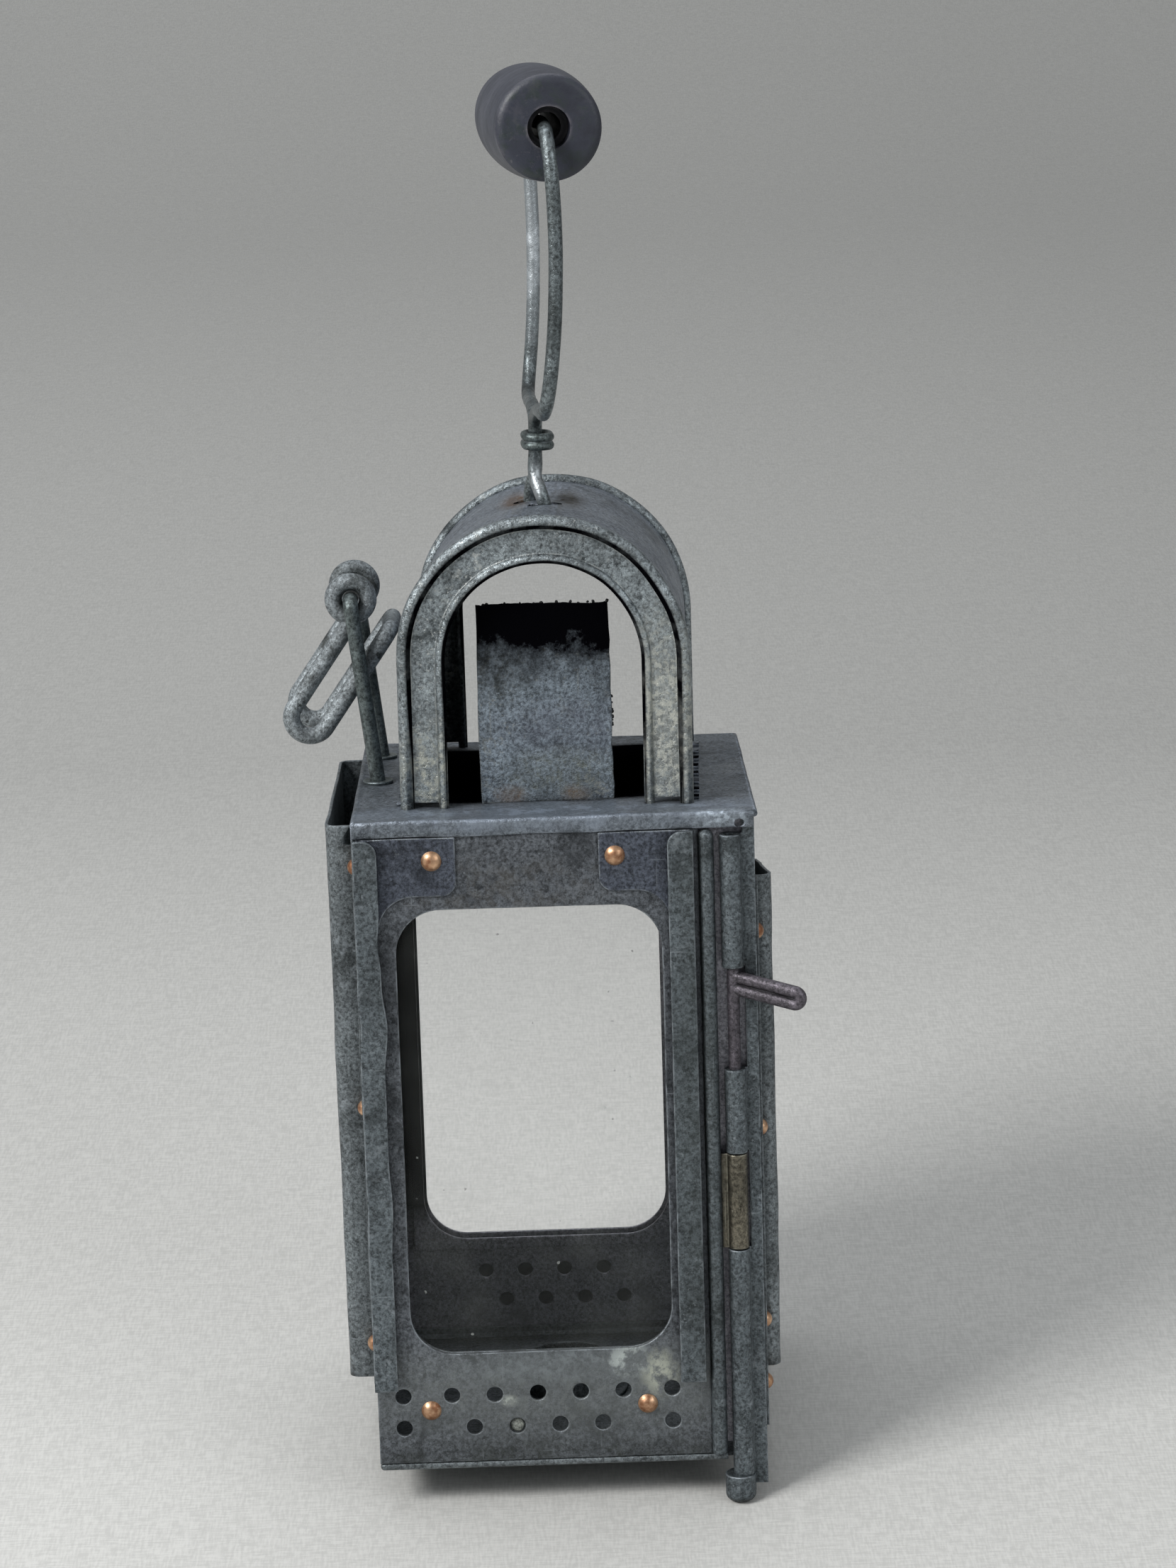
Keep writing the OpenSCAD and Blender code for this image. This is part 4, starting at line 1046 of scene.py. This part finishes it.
def ragged_baffle():
    """The baffle with its burnt, nibbled top and right edges and uneven face."""
    piece = fresh_copy("baffle", "burnt_baffle")
    slice_up(piece, 0, BAFFLE_STEP_ACROSS)
    slice_up(piece, 2, BAFFLE_STEP_UP)
    top = max(v.co.z for v in piece.data.vertices)
    right = max(v.co.x for v in piece.data.vertices)
    for v in piece.data.vertices:
        co = v.co.copy()
        v.co = co + sway(co) * BAFFLE_SWAY
        if co.z > top - TOP_BAND:
            nibble = ripple(co, scale=700.0, size=0.00022) + ripple(co, scale=160.0, size=0.0003)
            v.co.z -= TOP_BURNT_AWAY + nibble
        if co.x > right - SIDE_BAND:
            v.co.x += ripple(co, scale=420.0, size=0.0003) - SIDE_BURNT_AWAY
    smooth(piece)
    join_in(piece, baffle_metal, BODY_OF["baffle"])
    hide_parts("baffle")


ragged_baffle()

CHIP_R = 0.36 * MM
CHIP_FLATNESS = 0.6
CHIP_SIZES = (0.65, 1.15)
CHIP_Y = -0.0256
TOP_CHIPS = 26
TOP_CHIPS_LEFT = -0.0147
TOP_CHIPS_GAP = 0.00111
TOP_CHIPS_Z = 0.1864
TOP_CHIPS_SPREAD = 0.0003
TOP_CHIPS_RISE = 0.0004
SIDE_CHIPS = 9
SIDE_CHIPS_X = 0.0131
SIDE_CHIPS_LOW = 0.1600
SIDE_CHIPS_GAP = 0.0006
SIDE_CHIPS_SPREAD = 0.0015


def chip_places():
    """Along the baffle's top edge and up its right edge, scattered by sines that never repeat."""
    places = []
    for k in range(TOP_CHIPS):
        x = TOP_CHIPS_LEFT + k * TOP_CHIPS_GAP + TOP_CHIPS_SPREAD * math.sin(k * 2.7)
        places.append((x, CHIP_Y, TOP_CHIPS_Z - TOP_CHIPS_RISE * math.cos(k * 1.9)))
    for k in range(SIDE_CHIPS):
        z = SIDE_CHIPS_LOW + SIDE_CHIPS_GAP * k + SIDE_CHIPS_SPREAD * math.sin(k * 3.3)
        places.append((SIDE_CHIPS_X, CHIP_Y, z))
    return places


def soot_chips():
    """Burnt flakes that cling to the baffle's top and right edges, each turned its own way."""
    smallest, largest = CHIP_SIZES
    bpy.ops.mesh.primitive_ico_sphere_add(subdivisions=2, radius=CHIP_R)
    first = bpy.context.object
    first.name = "soot_chips"
    for v in first.data.vertices:
        v.co *= 1.0 + ripple(v.co, scale=2600.0, size=0.5)
        v.co.y *= CHIP_FLATNESS
    chips = []
    for k, spot in enumerate(chip_places()):
        chip = first if k == 0 else bpy.data.objects.new("chip", first.data.copy())
        if k:
            bpy.context.scene.collection.objects.link(chip)
        size = smallest + (largest - smallest) * abs(math.sin(k * 5.1))
        place = Matrix.Translation(spot) @ Matrix.Rotation(k * 1.3, 4, "Y")
        chip.matrix_world = place @ Matrix.Scale(size, 4)
        chips.append(chip)
    pick(first)
    for chip in chips:
        chip.select_set(True)
    bpy.ops.object.transform_apply(location=True, rotation=True, scale=True)
    bpy.ops.object.join()
    smooth(first, degrees=60.0)
    join_in(first, soot_metal, "lantern")


soot_chips()

VENT_PLUG_AT = (-0.01203, -0.0414, 0.0097)
VENT_PLUG_R = 1.62 * MM
VENT_PLUG_FLATNESS = 0.28
VENT_PLUG_ROUGHNESS = 0.0002


def vent_plug():
    """The one vent hole that is blocked: a rough blob of old solder in it."""
    bpy.ops.mesh.primitive_uv_sphere_add(
        segments=20, ring_count=12, radius=VENT_PLUG_R, location=VENT_PLUG_AT
    )
    piece = bpy.context.object
    piece.name = "vent_plug"
    scaled_in_place(piece, (1.0, VENT_PLUG_FLATNESS, 1.0))
    for v in piece.data.vertices:
        v.co.y += ripple(v.co, scale=900.0, size=VENT_PLUG_ROUGHNESS)
    smooth(piece, degrees=60.0)
    join_in(piece, solder_metal, "lantern")


vent_plug()

# ---------------------------------------------------------------- the bent bail wire

BAIL_WIRE_R = 1.5 * MM
WIRE_STEPS_ALONG = 8
WIRE_STEPS_ROUND = 6
# In millimetres: forward through the grip, down in front, back to the neck, round the ring in
# the hood's slot, up the neck again, then backwards and up to the grip.
BAIL_PATH = (
    (0.3, 0.0, 286.4),
    (2.5, -33.0, 286.2),
    (2.9, -38.6, 285.0),
    (3.5, -41.0, 280.2),
    (4.1, -41.0, 268.0),
    (3.9, -41.0, 254.4),
    (2.9, -40.6, 240.7),
    (1.6, -39.6, 231.5),
    (0.9, -36.6, 228.6),
    (0.2, -24.0, 227.0),
    (-0.8, -7.0, 224.8),
    (-1.2, -2.4, 222.4),
    (-1.4, -1.7, 216.5),
    (-1.6, -1.9, 210.6),
    (-0.6, -3.8, 207.4),
    (0.24, -4.23, 204.4),
    (0.03, -3.66, 202.15),
    (-0.53, -2.11, 200.5),
    (-1.3, 0.0, 199.9),
    (-2.07, 2.11, 200.5),
    (-2.63, 3.66, 202.15),
    (-2.84, 4.23, 204.4),
    (-2.5, 3.6, 207.6),
    (-1.6, 1.9, 210.8),
    (-1.4, 1.7, 216.5),
    (-1.3, 2.4, 222.0),
    (-1.6, 8.0, 224.0),
    (-2.4, 26.0, 224.2),
    (-2.6, 36.4, 225.4),
    (-2.2, 40.0, 229.2),
    (-1.4, 41.0, 237.0),
    (-0.6, 41.0, 252.0),
    (-0.6, 41.0, 270.0),
    (-1.2, 40.9, 281.4),
    (-1.9, 38.4, 285.6),
    (-1.9, 33.0, 286.5),
)


def closed_wire(name, path, radius):
    """A smooth endless wire through the given points, turned into a mesh."""
    bpy.ops.curve.primitive_bezier_curve_add()
    wire = bpy.context.object
    wire.name = name
    spline = wire.data.splines[0]
    spline.bezier_points.add(len(path) - len(spline.bezier_points))
    for point, place in zip(spline.bezier_points, path):
        point.co = Vector(place) * MM
        point.handle_left_type = point.handle_right_type = "AUTO"
    spline.use_cyclic_u = True
    wire.data.dimensions = "3D"
    wire.data.resolution_u = WIRE_STEPS_ALONG
    wire.data.bevel_depth = radius
    wire.data.bevel_resolution = WIRE_STEPS_ROUND
    pick(wire)
    bpy.ops.object.convert(target="MESH")
    wire = bpy.context.object
    open_mesh(wire)
    bpy.ops.mesh.remove_doubles(threshold=MERGE_DISTANCE)
    bpy.ops.mesh.normals_make_consistent(inside=False)
    close_mesh()
    smooth(wire, degrees=50.0)
    return wire


bail = closed_wire("bent_bail_wire", BAIL_PATH, BAIL_WIRE_R)
join_in(bail, bail_metal, "bail")
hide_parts("bail_wire")

# ---------------------------------------------------------------- the floor

# The lantern stands on the door's foot in front and on the base's back edge, so the floor
# leans against the lantern's own axes by the foot's depth over the distance between the two.
DOOR_FOOT_DEPTH = 9.0
FOOT_TO_BACK_EDGE = 83.8
FLOOR_LEAN = math.atan2(DOOR_FOOT_DEPTH, FOOT_TO_BACK_EDGE)
BACK_EDGE = Vector((0.0, 42.0 * MM, -0.1 * MM))
# In metres; what lies along the floor is counted from the back edge.
FLOOR_NEAR = -1.6
FLOOR_LENGTH = 6.0
FLOOR_WIDTH = 5.0
SWEEP_START = 1.5
SWEEP_R = 2.2


def sweep_point(along):
    """The floor's y and z: flat to the sweep's start, a quarter circle, then straight up."""
    if along < SWEEP_START:
        return along, 0.0
    turned = (along - SWEEP_START) / SWEEP_R
    angle = min(turned, math.pi / 2)
    above = max(0.0, turned - math.pi / 2) * SWEEP_R
    return SWEEP_START + SWEEP_R * math.sin(angle), SWEEP_R * (1.0 - math.cos(angle)) + above


def floor_material():
    """Pale cloth: a fine weave, and painted light and shade that follow the lamps' light on it."""
    mat, sh, bsdf, at = new_material("pale_floor")
    weft = sh.noise(sh.stretched(at, (1800.0, 260.0, 260.0)), 1.0, 2.0)
    warp = sh.noise(sh.stretched(at, (260.0, 1800.0, 1800.0)), 1.0, 2.0)
    weave = sh.ramp(sh.plus(weft, warp), 0.8, 1.2, 0.90, 1.07)
    place = sh.split(at)
    # Painted light on the floor: darker going back, brighter again far back, brighter to the left.
    near = sh.ramp(place["Y"], -0.15, 0.50, 0.56, 0.38)
    far = sh.ramp(place["Y"], 0.50, 2.2, 0.0, 0.31)
    side = sh.ramp(place["X"], -0.3, 0.3, 1.04, 0.94)
    shade = sh.times(sh.times(sh.plus(near, far), side), weave)
    sh.put(bsdf.inputs["Base Color"], sh.tint(shade, shade, sh.times(shade, 0.965)))
    sh.put(bsdf.inputs["Roughness"], 0.9)
    sh.put(bsdf.inputs["Specular IOR Level"], 0.2)
    return mat


def build_floor():
    """A pale sweep: flat under the lantern, curving up far behind it."""
    bpy.ops.mesh.primitive_grid_add(x_subdivisions=8, y_subdivisions=96, size=1.0)
    floor = bpy.context.object
    floor.name = "floor_sweep"
    for v in floor.data.vertices:
        v.co.x *= FLOOR_WIDTH
        v.co.y, v.co.z = sweep_point(FLOOR_NEAR + (v.co.y + 0.5) * FLOOR_LENGTH)
    floor.data.transform(Matrix.Translation(BACK_EDGE) @ Matrix.Rotation(FLOOR_LEAN, 4, "X"))
    for poly in floor.data.polygons:
        poly.use_smooth = True
    floor.data.materials.append(floor_material())


build_floor()

# ---------------------------------------------------------------- the light


def area_light(name, place, target, size, power, colour):
    data = bpy.data.lights.new(name, "AREA")
    data.shape = "RECTANGLE"
    data.size, data.size_y = size
    data.energy = power
    data.color = colour
    light = bpy.data.objects.new(name, data)
    bpy.context.scene.collection.objects.link(light)
    way = Vector(target) - Vector(place)
    light.location = place
    light.rotation_euler = way.to_track_quat("-Z", "Y").to_euler()


area_light(
    "key_soft",
    place=(-1.0, -0.8, 1.1),
    target=(0, 0, 0.12),
    size=(0.6, 0.6),
    power=24.0,
    colour=(1.0, 0.99, 0.98),
)
area_light(
    "fill_soft",
    place=(1.1, -1.0, 0.9),
    target=(0, 0, 0.12),
    size=(1.0, 1.0),
    power=6.5,
    colour=(0.96, 0.98, 1.0),
)
area_light(
    "top_soft",
    place=(-0.1, 0.2, 1.4),
    target=(0, 0, 0.1),
    size=(1.0, 0.6),
    power=7.0,
    colour=(0.95, 0.97, 1.0),
)

ROOM_COLOUR = rgb(190, 192, 194)
ROOM_STRENGTH = 0.55


def build_world():
    """Even grey light from all round."""
    world = bpy.data.worlds.new("studio")
    bpy.context.scene.world = world
    world.use_nodes = True
    background = world.node_tree.nodes["Background"].inputs
    background["Color"].default_value = ROOM_COLOUR
    background["Strength"].default_value = ROOM_STRENGTH


build_world()

# ---------------------------------------------------------------- the camera

CAMERA_AT = Vector((0.2, -868.0, 322.5)) * MM
CAMERA_YAW = math.radians(0.5)
CAMERA_PITCH = math.radians(11.75)
CAMERA_ROLL = math.radians(-1.75)
FOCAL_PIXELS = 5690.0
FRAME_TALL = 2212.0
SENSOR_MM = 36.0
NEAREST_SEEN = 0.05
FARTHEST_SEEN = 30.0


def build_camera():
    """Looks from above at the front; the yaw is to the right and the pitch downwards."""
    data = bpy.data.cameras.new("camera")
    cam = bpy.data.objects.new("camera", data)
    bpy.context.scene.collection.objects.link(cam)
    forward = Vector(
        (
            math.sin(CAMERA_YAW) * math.cos(CAMERA_PITCH),
            math.cos(CAMERA_YAW) * math.cos(CAMERA_PITCH),
            -math.sin(CAMERA_PITCH),
        )
    )
    right = Vector((math.cos(CAMERA_YAW), -math.sin(CAMERA_YAW), 0.0))
    up = right.cross(forward)
    turned_right = right * math.cos(CAMERA_ROLL) + up * math.sin(CAMERA_ROLL)
    turned_up = up * math.cos(CAMERA_ROLL) - right * math.sin(CAMERA_ROLL)
    basis = Matrix((turned_right, turned_up, -forward)).transposed().to_4x4()
    cam.matrix_world = Matrix.Translation(CAMERA_AT) @ basis
    data.sensor_fit = "AUTO"
    data.sensor_width = SENSOR_MM
    data.lens = FOCAL_PIXELS / FRAME_TALL * data.sensor_width
    data.clip_start = NEAREST_SEEN
    data.clip_end = FARTHEST_SEEN
    bpy.context.scene.camera = cam


build_camera()
bpy.context.scene.view_settings.view_transform = "Standard"
